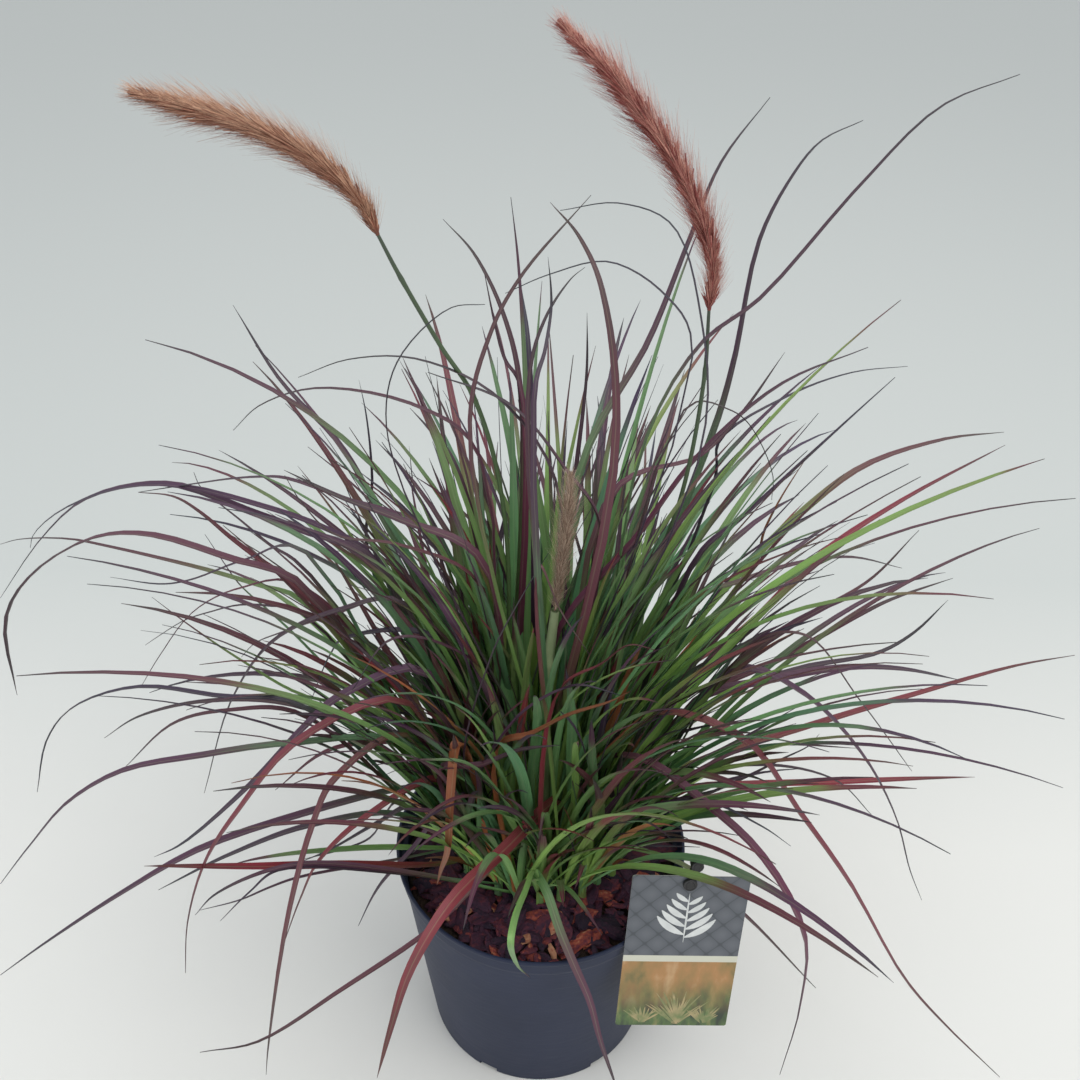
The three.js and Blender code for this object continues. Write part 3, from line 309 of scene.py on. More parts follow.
# Blades read off the photograph: kind, ring, heading, width, and pixels from root to tip
LEADS = [
    ("p", "outer", 165, 4.5, [375, 560, 320, 527, 260, 506, 180, 486, 120, 488, 60, 511, 33, 535, 30, 548]),
    ("p", "outer", 171, 5.5, [380, 565, 300, 530, 250, 512, 180, 487, 130, 487, 80, 503, 40, 540, 0, 598]),
    ("p", "outer", 174, 7, [300, 585, 230, 560, 150, 536, 95, 538, 35, 572, 6, 620, 17, 695]),
    ("o", "outer", 165, 4.5, [300, 600, 260, 587, 210, 572, 160, 559, 110, 547, 70, 539, 20, 539, 0, 544]),
    ("r", "middle", 168, 6.5, [300, 590, 260, 560, 230, 537, 200, 512, 175, 497, 138, 492]),
    ("o", "middle", 158, 4, [300, 565, 270, 545, 240, 520, 215, 500, 200, 486, 194, 472]),
    ("g", "outer", 172, 2.6, [400, 720, 300, 695, 240, 660, 185, 622, 152, 597]),
    ("g", "middle", 160, 2.4, [300, 640, 270, 612, 240, 585, 222, 560, 205, 534]),
    ("o", "outer", 168, 3, [300, 549, 245, 560, 190, 580, 160, 584, 110, 577]),
    ("r", "outer", 172, 2.6, [300, 585, 240, 588, 195, 610, 160, 655, 140, 688]),
    ("d", "outer", 176, 4, [400, 602, 340, 610, 275, 640, 232, 700, 204, 793]),
    ("d", "outer", 178, 4.5, [300, 706, 220, 697, 140, 687, 75, 706, 48, 738, 37, 792]),
    ("d", "outer", 174, 4.5, [300, 707, 210, 701, 140, 716, 104, 738]),
    ("p", "outer", 182, 3.5, [300, 714, 230, 711, 175, 723, 123, 769]),
    ("m", "outer", 185, 5, [410, 745, 290, 745, 200, 757, 125, 770, 70, 800, 30, 845, 0, 884]),
    ("p", "outer", 188, 6.5, [420, 670, 340, 697, 310, 722, 245, 790, 180, 845, 154, 857]),
    ("r", "outer", 200, 6.5, [400, 700, 300, 740, 240, 810, 207, 860, 188, 920, 185, 973]),
    ("p", "outer", 191, 7, [450, 790, 400, 790, 300, 815, 200, 850, 120, 895, 50, 940, 0, 975]),
    ("c", "outer", 187, 6, [450, 863, 300, 866, 200, 866, 144, 866]),
    ("d", "outer", 186, 5, [400, 815, 310, 825, 230, 855, 158, 890]),
    ("p", "outer", 195, 4, [320, 862, 270, 870, 215, 895, 195, 915]),
    ("p", "outer", 204, 3, [280, 870, 250, 892, 220, 921]),
    ("p", "outer", 212, 4.5, [400, 735, 335, 780, 315, 820, 288, 915, 268, 1050, 266, 1075]),
    ("c", "outer", 196, 6, [440, 780, 370, 815, 320, 860, 300, 900, 283, 945]),
    ("p", "outer", 216, 4, [520, 845, 430, 930, 340, 992, 260, 1041, 200, 1052]),
    ("w", "outer", 236, 8, [560, 800, 500, 855, 450, 905, 410, 970, 390, 1030, 377, 1078]),
    ("p", "outer", 206, 5, [452, 790, 420, 840, 380, 885, 358, 926]),
    ("d", "outer", 190, 5.5, [415, 805, 380, 822, 330, 850, 300, 862]),
    ("d", "middle", 170, 5, [440, 640, 345, 638, 330, 655, 311, 700]),
    ("c", "outer", 183, 5.5, [470, 745, 400, 742, 330, 750, 275, 790]),
    ("w", "outer", -20, 7.5, [650, 715, 740, 738, 800, 815, 850, 885, 905, 980, 945, 1025, 1000, 1077]),
    ("p", "outer", -5, 6.5, [740, 670, 800, 692, 860, 752, 895, 815, 910, 870, 922, 900]),
    ("w", "outer", -35, 6.5, [600, 765, 640, 760, 705, 805, 760, 855, 803, 930, 800, 1005, 780, 1075]),
    ("d", "outer", -18, 5, [620, 850, 680, 863, 740, 912, 816, 988]),
    ("c", "outer", 6, 5.5, [690, 790, 740, 786, 870, 780, 975, 777]),
    ("w", "outer", 12, 6.5, [640, 790, 700, 760, 800, 730, 900, 700, 1010, 667, 1075, 655]),
    ("p", "outer", 13, 7, [700, 700, 760, 682, 840, 668, 900, 669, 960, 680]),
    ("d", "outer", 20, 5, [720, 700, 800, 668, 880, 652, 915, 632, 948, 600]),
    ("p", "middle", 16, 5.5, [700, 700, 780, 660, 860, 615, 890, 600, 953, 578]),
    ("m", "middle", 24, 5, [700, 680, 800, 620, 870, 580, 919, 530]),
    ("c", "outer", 22, 6, [650, 700, 750, 625, 815, 560, 900, 502, 1005, 445]),
    ("o", "middle", 27, 6, [700, 620, 740, 575, 800, 515, 860, 468, 940, 440, 1004, 432]),
    ("p", "middle", 22, 5.5, [700, 555, 740, 520, 810, 455, 895, 377]),
    ("s", "middle", 32, 4, [755, 560, 765, 530, 780, 500, 808, 455]),
    ("o", "outer", 14, 4, [700, 600, 740, 582, 800, 563, 850, 557, 902, 568]),
    ("w", "middle", 12, 7, [555, 645, 640, 535, 700, 455, 780, 385, 868, 347]),
    ("m", "inner", 30, 5, [615, 490, 700, 455, 740, 415, 785, 352]),
    ("d", "inner", 26, 2.4, [715, 480, 720, 440, 790, 395, 850, 373, 908, 366]),
    ("d", "inner", 10, 2.4, [690, 405, 730, 410, 750, 425, 773, 475, 772, 500]),
    ("d", "outer", 4, 2.6, [760, 640, 805, 635, 860, 700, 912, 771]),
    ("d", "outer", -2, 3, [700, 775, 770, 765, 835, 780, 873, 816]),
    ("m", "outer", 3, 3.5, [720, 760, 770, 745, 856, 748]),
    ("p", "outer", 10, 4, [680, 770, 740, 740, 797, 707]),
    ("d", "outer", -14, 3, [600, 840, 700, 800, 760, 825, 791, 846]),
    ("p", "outer", -6, 5, [620, 815, 680, 800, 735, 785]),
    ("o", "middle", 20, 4, [640, 460, 700, 345, 760, 298, 860, 185, 940, 107, 1020, 74]),
    ("o", "inner", 28, 6.5, [715, 430, 735, 360, 760, 240, 790, 180, 820, 142, 863, 120]),
    ("o", "inner", 45, 5.5, [580, 470, 650, 340, 690, 240, 720, 165, 770, 97]),
    ("d", "inner", 150, 2.6, [700, 450, 699, 310, 672, 225, 620, 203, 560, 210]),
    ("d", "inner", 160, 2.6, [692, 345, 665, 295, 610, 262, 550, 274, 505, 293]),
    ("p", "inner", 120, 6, [615, 440, 602, 290, 580, 238, 550, 202]),
    ("o", "inner", 60, 4, [583, 420, 587, 370, 587, 313]),
    ("o", "inner", 35, 4.5, [470, 430, 490, 335, 520, 278, 591, 195]),
    ("g", "inner", 110, 4.5, [525, 400, 523, 340, 518, 260, 511, 197]),
    ("o", "middle", 140, 5.5, [520, 400, 505, 320, 475, 255, 443, 219]),
    ("r", "middle", 130, 5.5, [520, 385, 505, 360, 495, 325, 484, 270]),
    ("o", "inner", 50, 4.5, [530, 380, 545, 320, 570, 280, 585, 267]),
    ("d", "middle", 8, 3, [400, 480, 386, 410, 400, 357, 450, 308, 485, 304]),
    ("d", "middle", 165, 4, [560, 500, 500, 400, 420, 360, 350, 359, 298, 377]),
    ("p", "middle", 170, 4.5, [475, 450, 420, 408, 320, 388, 260, 405, 233, 430]),
    ("o", "middle", 150, 5, [430, 610, 372, 500, 340, 445, 280, 380, 233, 305]),
    ("p", "middle", 160, 7, [470, 600, 430, 540, 400, 505, 360, 472]),
    ("p", "middle", 172, 8, [480, 560, 400, 520, 340, 497, 284, 470]),
    ("p", "middle", 175, 6, [480, 585, 400, 545, 335, 535, 300, 500, 285, 475]),
    ("p", "inner", 185, 8, [600, 530, 565, 470, 510, 405, 428, 372]),
    ("o", "middle", 155, 3, [370, 560, 372, 480, 366, 415, 359, 380]),
    ("m", "middle", 195, 4, [500, 690, 430, 640, 390, 640, 352, 690]),
]

# More of them, which only the picture shows; a last number is the heading of the shoot, where it
# isn't the blade's own
EXTRAS = [
    ("d", "outer", 165, 2.5, [300, 611, 270, 606, 240, 605, 210, 612, 185, 620, 160, 635, 145, 645]),
    ("m", "outer", 170, 5, [400, 602, 330, 617, 280, 633, 255, 643, 241, 657]),
    ("p", "outer", 200, 2.5, [300, 878, 270, 888, 240, 900, 200, 910]),
    ("g", "outer", 195, 5, [445, 848, 400, 849, 340, 850, 300, 852, 260, 858, 230, 865]),
    ("g", "outer", -95, 3.5, [535, 870, 525, 895, 515, 920, 511, 940, 515, 960, 530, 978]),
    ("d", "outer", 190, 2.5, [400, 800, 370, 838, 340, 850, 300, 860]),
    ("d", "outer", 10, 2.5, [740, 780, 780, 760, 810, 745, 819, 734]),
    ("g", "outer", -5, 4.5, [600, 850, 650, 838, 690, 820, 740, 800]),
    ("d", "outer", -8, 2.2, [600, 840, 640, 845, 700, 847]),
    ("p", "middle", 100, 7, [530, 400, 528, 340, 521, 285]),
    ("o", "inner", 80, 4, [535, 390, 545, 350, 551, 310, 551, 290, 548, 257]),
    ("p", "middle", 130, 6.5, [470, 510, 450, 455, 430, 430, 410, 408]),
    ("p", "outer", 165, 4.5, [440, 540, 340, 497, 285, 478, 260, 477, 230, 479, 200, 483, 138, 492]),
    ("d", "middle", 120, 2.2, [430, 520, 415, 490, 409, 445]),
    ("s", "outer", -15, 7, [500, 745, 530, 735, 570, 715, 610, 702, 630, 691], -110),
    ("c", "outer", -20, 7, [560, 690, 600, 665, 630, 645, 656, 650], -95),
    ("m", "outer", -10, 7, [480, 780, 500, 740, 520, 715, 540, 700, 560, 690, 580, 685, 620, 695], -120),
    ("d", "middle", 10, 2.4, [465, 780, 490, 660, 520, 600, 548, 553], -115),
    ("m", "outer", -30, 4, [540, 565, 560, 610, 590, 655], -70),
    ("p", "outer", -10, 6.5, [440, 770, 480, 765, 520, 750, 560, 745], -125),
    ("g", "outer", 190, 5, [470, 765, 430, 760, 370, 765], -75),
]

# Blades that hang down in front: kind, heading of their shoot, heading, sway, width, and pixels
# with how far each lies before the pot's axis
HANGING = [
    ("m", -100, -70, 0, 5.5, [(530, 868, 50), (545, 890, 68), (560, 930, 84), (575, 965, 100),
                              (590, 1000, 117), (600, 1040, 134), (612, 1075, 150), (618, 1092, 160)]),
    ("s", -130, 200, 85, 8.0, [(458, 742, 56), (452, 790, 66), (448, 850, 66), (441, 870, 62),
                               (437, 885, 60)]),
]

# Of its distance from the camera, how far off a blade is drawn that crosses before the clump
NEARER = 0.945

# Kinds of blade: how far up it stays green, how crimson it turns, how dead and how dark it is
KINDS = {
    "g": (0.85, 0.2, 0.0, 0.2),
    "m": (0.5, 0.3, 0.0, 0.3),
    "o": (0.6, 0.15, 0.0, 0.5),
    "p": (0.25, 0.3, 0.0, 0.2),
    "w": (0.2, 0.65, 0.0, 0.0),
    "r": (0.3, 0.8, 0.0, 0.1),
    "c": (0.12, 1.0, 0.0, 0.0),
    "d": (0.35, 0.1, 0.0, 0.8),
    "s": (0.05, 1.0, 1.0, 0.0),
}

# Blades that only the picture shows, for each ring: how many on a shoot, their length, how far
# they bend, the share of their length that is green, and the shoot's slot
FILLERS = {
    "core": {"count": 20, "length": (180, 340), "start": (0, 9), "end": (8, 45), "green": (0.8, 1.0),
             "slot": "blade_green"},
    "inner": {"count": 12, "length": (170, 340), "start": (1, 12), "end": (10, 55), "green": (0.75, 1.0),
              "slot": "blade_green"},
    "middle": {"count": 10, "length": (160, 320), "start": (2, 16), "end": (18, 65), "green": (0.6, 0.95),
               "slot": "blade_mixed"},
    "outer": {"count": 11, "length": (130, 290), "start": (3, 28), "end": (35, 98), "green": (0.45, 0.85),
              "slot": "blade_purple"},
}
FILLER_WIDTHS = (3.4, 7.4)
WISPS, WISP_WIDTHS = 2, (0.8, 1.4)
SCRAPS = {"share": 0.6, "length": (35, 75), "start": (15, 60), "end": (60, 110)}

# How blades and leaf sheaths stand in the soil, and what paths keep clear of
SHEATH_FOOT = 139.0
SLOT_RADIUS = 1.6
LOWEST = 9.0
CROWN_CLEAR = {"below": 158.0, "radius": 70.0}
RIM_CLEAR = {"below": 166.0, "radius": 98.0}
TAG_CLEAR = (40.0, 9.0, 75.0)
BOX_MARGIN = 4.0

# The young flower stalk in pixels, down the photograph and across it, and what keeps it in sight
YOUNG_STALK = ([470, 610, 690, 800], [570, 555, 546, 543])
YOUNG_CLEAR = {"from": 470, "to": 830, "aside": 10, "before": 18}

# Across a blade, the places of its points; along it, its width, how deep it is folded, and how
# thick it is at the midrib
ACROSS = np.array([-1.0, -0.5, 0.0, 0.5, 1.0])
WIDTH_STOPS = ([0, 0.08, 0.2, 0.4, 0.62, 0.82, 0.94, 1], [0.5, 0.55, 0.68, 1, 0.93, 0.6, 0.3, 0.02])
FOLD_STOPS = ([0, 0.3, 1], [0.75, 0.45, 0.2])
THICKNESS = 0.36
STEPS_BELOW = 2
RIPPLE = {"depth": 1.2, "turns": 9}


class Pile:
    """Vertices, faces and named point values that are gathered into one mesh."""

    def __init__(self):
        self.points, self.faces, self.values, self.count = [], [], {}, 0

    def add(self, points, faces, **values):
        self.points.append(points)
        self.faces.extend((faces + self.count).tolist())
        for name, value in values.items():
            self.values.setdefault(name, []).append(np.broadcast_to(value, len(points)))
        self.count += len(points)

    def piece(self, name, material, smooth=True):
        mesh = bpy.data.meshes.new(name)
        mesh.from_pydata((np.concatenate(self.points) * MM).tolist(), [], self.faces)
        for key, values in self.values.items():
            layer = mesh.attributes.new(key, "FLOAT", "POINT")
            layer.data.foreach_set("value", np.concatenate(values).astype(np.float32))
        if smooth:
            mesh.shade_smooth()
        else:
            mesh.shade_flat()
        mesh.materials.append(material)
        piece = bpy.data.objects.new(name, mesh)
        bpy.context.scene.collection.objects.link(piece)
        return piece


def declare(piece, slot, *nodes):
    """Parents a piece to the root body and hides the solids that it stands for; slot, the finish, is not
    used.
    """
    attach(piece, "root")
    if nodes:
        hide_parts(*nodes)


def strip_faces(rings, across):
    """Quads of an open strip of so many points across."""
    base = np.arange(rings - 1)[:, None] * across + np.arange(across - 1)
    base = base.reshape(-1, 1)
    return np.hstack([base, base + 1, base + across + 1, base + across])


def ring_faces(rings, sides):
    """Quads between closed rings of so many points."""
    base = np.arange(rings - 1)[:, None] * sides
    near = np.arange(sides)
    after = (near + 1) % sides
    faces = np.stack([base + near, base + after, base + after + sides, base + near + sides], axis=2)
    return faces.reshape(-1, 4)


def crosswise(along, guide):
    """Two unit vectors across each direction."""
    across = unit_rows(np.cross(along, guide))
    return across, np.cross(along, across)


def circle(sides):
    turns = np.arange(sides) / sides * math.tau
    return np.cos(turns), np.sin(turns)


def spokes(across, third, sides):
    """Unit vectors round each point of a path."""
    c, s = circle(sides)
    return across[:, None] * c[None, :, None] + third[:, None] * s[None, :, None]


def tube(pile, path, radii, sides, **values):
    """An open tube along a path; values are for the whole tube or for each of its rings."""
    along = unit_rows(np.gradient(path, axis=0))
    out = spokes(*crosswise(along, [0.31, 0.94, 0.14]), sides)
    points = path[:, None] + out * np.asarray(radii, float)[:, None, None]
    values = {name: np.repeat(value, sides) if np.ndim(value) else value for name, value in values.items()}
    pile.add(points.reshape(-1, 3), ring_faces(len(path), sides), **values)


def side_vectors(points, toward, sway, roll):
    """Vectors across a blade and out of its face, at each of its points."""
    along = unit_rows(np.gradient(points, axis=0))
    s = np.linspace(0, 1, len(points))
    turns = np.radians(toward + 90 + sway * s)
    side = np.stack([np.cos(turns), np.sin(turns), np.zeros_like(s)], axis=1)
    side -= along * (side * along).sum(axis=1)[:, None]
    side /= np.maximum(np.linalg.norm(side, axis=1), 1e-6)[:, None]
    face = np.cross(along, side)
    tilt = np.radians(roll * s)[:, None]
    return side * np.cos(tilt) + face * np.sin(tilt), face * np.cos(tilt) - side * np.sin(tilt)


def tone_along(s, green):
    """0 where a blade is bright green, 1 at its dark tip."""
    return np.interp(s, [0, 0.6 * green, green, green + 0.25 * (1 - green), 1], [0, 0.13, 0.36, 0.62, 1])


def add_blade(pile, path, kind, draw):
    """A folded blade along a path, with its base reaching down into the soil."""
    green, hue, dead, dark = kind
    root = path["points"][0]
    foot = np.array([*path["foot"][:2], SHEATH_FOOT])
    below = [foot + (root - foot) * k / STEPS_BELOW for k in range(STEPS_BELOW)]
    points = np.vstack([below, path["points"]])
    reach = reach_along(points)
    s = reach / reach[-1]
    side, face = side_vectors(points, path["toward"], path["sway"], path["roll"])
    half = path["width"] / 2 * np.interp(s, *WIDTH_STOPS)
    wave = draw.uniform(-1, 1, 2)
    swing = np.sin(s * RIPPLE["turns"] + wave[0] * RIPPLE["turns"])
    ripple = RIPPLE["depth"] * swing * np.sin(s * math.pi) * wave[1]
    middle = points + side * ripple[:, None]
    fold = half * np.interp(s, *FOLD_STOPS)
    lift = np.abs(ACROSS) ** 1.3
    values = {
        "tone": np.repeat(tone_along(s, min(0.97, green)), len(ACROSS)),
        "hue": hue, "dead": dead, "dark": dark, "pick": draw.uniform(0, 1),
        "across": np.tile(ACROSS, len(points)), "along": np.repeat(reach, len(ACROSS)),
    }
    top = middle[:, None] + side[:, None] * half[:, None, None] * ACROSS[None, :, None]
    top = top + face[:, None] * fold[:, None, None] * lift[None, :, None]
    bottom = top - face[:, None] * (THICKNESS * (1 - 0.7 * np.abs(ACROSS)))[None, :, None]
    faces = strip_faces(len(points), len(ACROSS))
    pile.add(top.reshape(-1, 3), faces, **values)
    pile.add(bottom.reshape(-1, 3), faces[:, ::-1], **values)


def blocked(points):
    """Whether a path runs through the pot, the label or the ground, or leaves the solids' box."""
    height = points[:, 2]
    radius = np.hypot(points[:, 0], points[:, 1])
    inside = radius < CROWN_CLEAR["radius"]
    sunk = (height[2:] < CROWN_CLEAR["below"]) & inside[2:]
    rim = (height < RIM_CLEAR["below"]) & (radius > CROWN_CLEAR["radius"]) & (radius < RIM_CLEAR["radius"])
    card = (np.abs((points - TAG_PLACE) @ TAG_AXES) < TAG_CLEAR).all(axis=1)
    low, high = np.array(CAD_BOX[0]) / MM - BOX_MARGIN, np.array(CAD_BOX[1]) / MM + BOX_MARGIN
    outside = (points < low) | (points > high)
    return (height < LOWEST).any() or sunk.any() or rim.any() or card.any() or outside.any()


def hides_young(points):
    """Whether a path crosses in front of the young flower stalk, as the camera sees it."""
    ray = points - EYE
    depth = ray @ FORWARD
    x = CENTRE + FOCAL * (ray @ RIGHT) / depth
    y = CENTRE - FOCAL * (ray @ UPWARD) / depth
    over = np.abs(x - np.interp(y, *YOUNG_STALK)) < YOUNG_CLEAR["aside"]
    over &= (y > YOUNG_CLEAR["from"]) & (y < YOUNG_CLEAR["to"]) & (points[:, 1] < -YOUNG_CLEAR["before"])
    return over.any()


def filler_path(shoot, draw, rule, widths):
    """The line of a blade or scrap that only the picture shows, and whether it is free."""
    slot = shoot["slots"][draw.integers(len(shoot["slots"]))]
    blend, outness = fanning(shoot, slot)
    toward = slot["toward"] + blend + draw.uniform(-30, 30)
    front = front_share(toward)
    length = draw.uniform(*rule["length"]) * lerp(1, 0.7, front)
    start = lerp(*rule["start"], 0.6 * outness + 0.4 * draw.random()) * lerp(1, 0.65, front)
    end = lerp(*rule["end"], 0.5 * outness + 0.5 * draw.random()) * lerp(1, 0.55, front)
    sway = draw.uniform(-22, 22)
    points = bent_path(slot["root"], toward, sway, length, start, end, draw.uniform(1.1, 2.4), FILLER_STEPS)
    path = {"points": points, "toward": toward, "width": draw.uniform(*widths), "sway": sway,
            "roll": draw.uniform(-60, 60), "foot": slot_foot(shoot, slot)}
    return path, not blocked(points) and not hides_young(points)


def slot_foot(shoot, slot):
    return shoot["foot"] + heading(slot["toward"]) * SLOT_RADIUS


def ruled_kind(ring, draw):
    """The colours of a blade that wasn't read off the photograph."""
    green = draw.uniform(*FILLERS[ring]["green"])
    hue = draw.uniform(0, 0.35) if draw.random() < 0.88 else draw.uniform(0.6, 1)
    dead = 1.0 if draw.random() < 0.02 else 0.0
    return green, hue, dead, draw.uniform(0, 0.32)


def first_free(paths):
    """The first path that nothing blocks."""
    return next((path for path in paths if not blocked(path["points"])), None)


def solid_blades(shoots):
    """The blades that the solids show, each found by its tip, as (shoot, slot, path, kind)."""
    points = [node_points(f"shoot_{shoot['index'] + 1:02d}") for shoot in shoots]
    found = []
    for row in LEADS:
        shoot, slot = slot_toward(shoots, row[1], row[2])
        path = next((path for path in lead_paths(slot, row) if grown(path, points[shoot["index"]])), None)
        if path:
            slot["taken"] = True
            shoot["count"] += 1
        else:
            path = first_free(lead_paths(slot, row))
        if path:
            found.append((shoot, slot, path, KINDS[row[0]]))
    for k, shoot in enumerate(shoots):
        draw = np.random.default_rng(900 + k)
        for index, slot in enumerate(shoot["slots"]):
            if slot["taken"]:
                continue
            seed = 10000 * (k + SEED) + 100 * index
            tries = (ruled_path(shoot, slot, seed + attempt) for attempt in range(TRIES))
            path = next((path for path in tries if grown(path, points[k])), None)
            if path:
                found.append((shoot, slot, path, ruled_kind(shoot["ring"], draw)))
    return found


def nearer(path):
    """A path moved along the camera's rays, so that it shows before the rest of the clump."""
    share = np.interp(np.linspace(0, 1, len(path["points"])), [0, 0.3, 1], [0, 1, 1])[:, None]
    closer = EYE + (path["points"] - EYE) * NEARER
    path["points"] = path["points"] * (1 - share) + closer * share
    return path


def extra_blades(shoots):
    """The blades read off the photograph that only the picture shows."""
    found = []
    for row in EXTRAS:
        crossing = len(row) > 5
        shoot, slot = slot_toward(shoots, row[1], row[-1] if crossing else row[2], any_slot=True)
        path = first_free(lead_paths(slot, row))
        if path:
            found.append((shoot, slot, nearer(path) if crossing else path, KINDS[row[0]]))
    for kind, shoot_heading, toward, sway, width, marks in HANGING:
        shoot, slot = slot_toward(shoots, "outer", shoot_heading, any_slot=True)
        points = smooth_curve([slot["root"], *(pixel_at_depth(*mark) for mark in marks)], LEAD_STEPS)
        path = {"points": points, "toward": toward, "width": width, "roll": 20.0, "sway": sway}
        found.append((shoot, slot, path, KINDS[kind]))
    return found


def add_sheath(pile, shoot, draw):
    """The short tube of leaf bases that a shoot's blades come out of."""
    foot = np.array([*shoot["foot"][:2], SHEATH_FOOT])
    knee = foot + np.array([0, 0, SOIL_TOP + STEM["straight"] - SHEATH_FOOT])
    head = knee + leaning(shoot["toward"], shoot["lean"]) * STEM["height"] * 2
    looks = {"tone": draw.uniform(0.02, 0.34), "hue": 0.3, "dead": 0.0, "dark": 0.2, "pick": draw.random(),
             "across": 0.3, "along": 0.0}
    tube(pile, np.array([foot, (foot + knee) / 2, knee, head]), [2.9, 2.8, 2.6, 0.6], 8, **looks)


def grow_shoots(material):
    shoots = lay_out_shoots()
    piles = [Pile() for _ in shoots]
    draw = np.random.default_rng(11)
    for shoot, slot, path, kind in [*solid_blades(shoots), *extra_blades(shoots)]:
        path["foot"] = slot_foot(shoot, slot)
        path["roll"] = path["roll"] or draw.uniform(-25, 25)
        add_blade(piles[shoot["index"]], path, kind, draw)
    for k, (shoot, pile) in enumerate(zip(shoots, piles)):
        draw = np.random.default_rng(100 + k)
        rule = FILLERS[shoot["ring"]]
        add_sheath(pile, shoot, draw)
        for n in range(rule["count"] + WISPS):
            wisp = n >= rule["count"]
            path, free = filler_path(shoot, draw, rule, WISP_WIDTHS if wisp else FILLER_WIDTHS)
            kind = ruled_kind(shoot["ring"], draw)
            if free:
                add_blade(pile, path, KINDS["d"] if wisp else kind, draw)
        scrap, free = filler_path(shoot, draw, SCRAPS, FILLER_WIDTHS)
        if shoot["ring"] == "outer" and draw.random() < SCRAPS["share"] and free:
            add_blade(pile, scrap, KINDS["s"], draw)
        declare(pile.piece(f"leaves_{k + 1:02d}", material), rule["slot"], f"shoot_{k + 1:02d}")


# Materials

class Paint:
    """A material and the nodes that colour it."""

    def __init__(self, name):
        self.material = bpy.data.materials.new(name)
        self.material.use_nodes = True
        self.tree = self.material.node_tree
        self.shader = self.tree.nodes["Principled BSDF"]

    def new(self, kind):
        return self.tree.nodes.new("ShaderNode" + kind)

    def feed(self, socket, value):
        """Links another node's output to a socket, or sets it to a number, vector or colour."""
        if isinstance(value, bpy.types.NodeSocket):
            self.tree.links.new(value, socket)
        else:
            socket.default_value = value

    def attribute(self, name):
        node = self.new("Attribute")
        node.attribute_name = name
        return node.outputs["Fac"]

    def place(self):
        """Outputs for x, y and z in the piece's own space, in metres."""
        split = self.new("SeparateXYZ")
        self.feed(split.inputs[0], self.new("TexCoord").outputs["Object"])
        return split.outputs

    def math(self, operation, a, b=0.0, clamp=False):
        node = self.new("Math")
        node.operation = operation
        node.use_clamp = clamp
        self.feed(node.inputs[0], a)
        self.feed(node.inputs[1], b)
        return node.outputs[0]

    def times(self, a, b):
        return self.math("MULTIPLY", a, b)

    def plus(self, a, b, clamp=False):
        return self.math("ADD", a, b, clamp)

    def minus(self, a, b, clamp=False):
        return self.math("SUBTRACT", a, b, clamp)

    def swing(self, source, amount):
        """A value from 0 to 1 turned into one round 0, so many wide."""
        return self.times(self.minus(source, 0.5), amount)

    def share(self, source, low, high):
        """0 below a value, 1 above another."""
        node = self.new("MapRange")
        for name, value in (("From Min", low), ("From Max", high), ("Value", source)):
            self.feed(node.inputs[name], value)
        return node.outputs[0]

    def ramp(self, source, stops):
        """A colour ramp; stops are (place, linear colour)."""
        node = self.new("ValToRGB")
        elements = node.color_ramp.elements
        while len(elements) < len(stops):
            elements.new(0.5)
        for element, (place, colour) in zip(elements, stops):
            element.position = place
            element.color = (*colour, 1)
        self.feed(node.inputs[0], source)
        return node.outputs["Color"]

    def mix(self, share, a, b, mode="MIX"):
        node = self.new("Mix")
        node.data_type = "RGBA"
        node.blend_type = mode
        for place, value in ((0, share), (6, a), (7, b)):
            self.feed(node.inputs[place], (*value, 1) if isinstance(value, tuple) else value)
        return node.outputs[2]

    def noise(self, scale, detail=4.0, vector=None, stretch=None):
        """Noise in the piece's own space, or over three outputs."""
        node = self.new("TexNoise")
        self.feed(node.inputs["Scale"], scale)
        self.feed(node.inputs["Detail"], detail)
        if vector:
            joined = self.new("CombineXYZ")
            for socket, value in zip(joined.inputs, vector):
                self.feed(socket, value)
            source = joined.outputs[0]
        else:
            source = self.new("TexCoord").outputs["Object"]
        if stretch:
            mapping = self.new("Mapping")
            self.feed(mapping.inputs["Scale"], stretch)
            self.feed(mapping.inputs["Vector"], source)
            source = mapping.outputs[0]
        self.feed(node.inputs["Vector"], source)
        return node.outputs["Fac"]

    def bump(self, height, strength, distance):
        node = self.new("Bump")
        for name, value in (("Strength", strength), ("Distance", distance), ("Height", height)):
            self.feed(node.inputs[name], value)
        self.feed(self.shader.inputs["Normal"], node.outputs[0])

    def done(self, colour, roughness, specular=None):
        self.feed(self.shader.inputs["Base Color"], colour)
        self.feed(self.shader.inputs["Roughness"], roughness)
        if specular:
            self.feed(self.shader.inputs["Specular IOR Level"], specular)
        return self.material


GREEN = (0.3, 0.55, 0.16)
PURPLE_RAMP = [(0, GREEN), (0.2, (0.2, 0.42, 0.145)), (0.38, (0.165, 0.255, 0.12)),
               (0.52, (0.125, 0.1, 0.085)), (0.66, (0.105, 0.045, 0.085)),
               (0.85, (0.068, 0.04, 0.068)), (1, (0.046, 0.056, 0.066))]
CRIMSON_RAMP = [(0, GREEN), (0.3, (0.13, 0.17, 0.055)), (0.5, (0.2, 0.04, 0.05)),
                (0.8, (0.235, 0.024, 0.05)), (1, (0.07, 0.022, 0.032))]
DEAD_RAMP = [(0, (0.514, 0.3, 0.12)), (0.5, (0.514, 0.156, 0.061)), (1, (0.2, 0.07, 0.035))]
# A random brightness for each blade: partly its own tone, partly painted light, warm and bright as if lit
# through, and painted shade, bluish and dark
BLADE_TINT_LIGHT_AND_SHADE = [(0, (0.62, 0.8, 1.15)), (0.35, (0.85, 0.9, 1.0)), (0.65, (1.05, 1.02, 0.9)),
          (1, (1.45, 1.25, 0.85))]
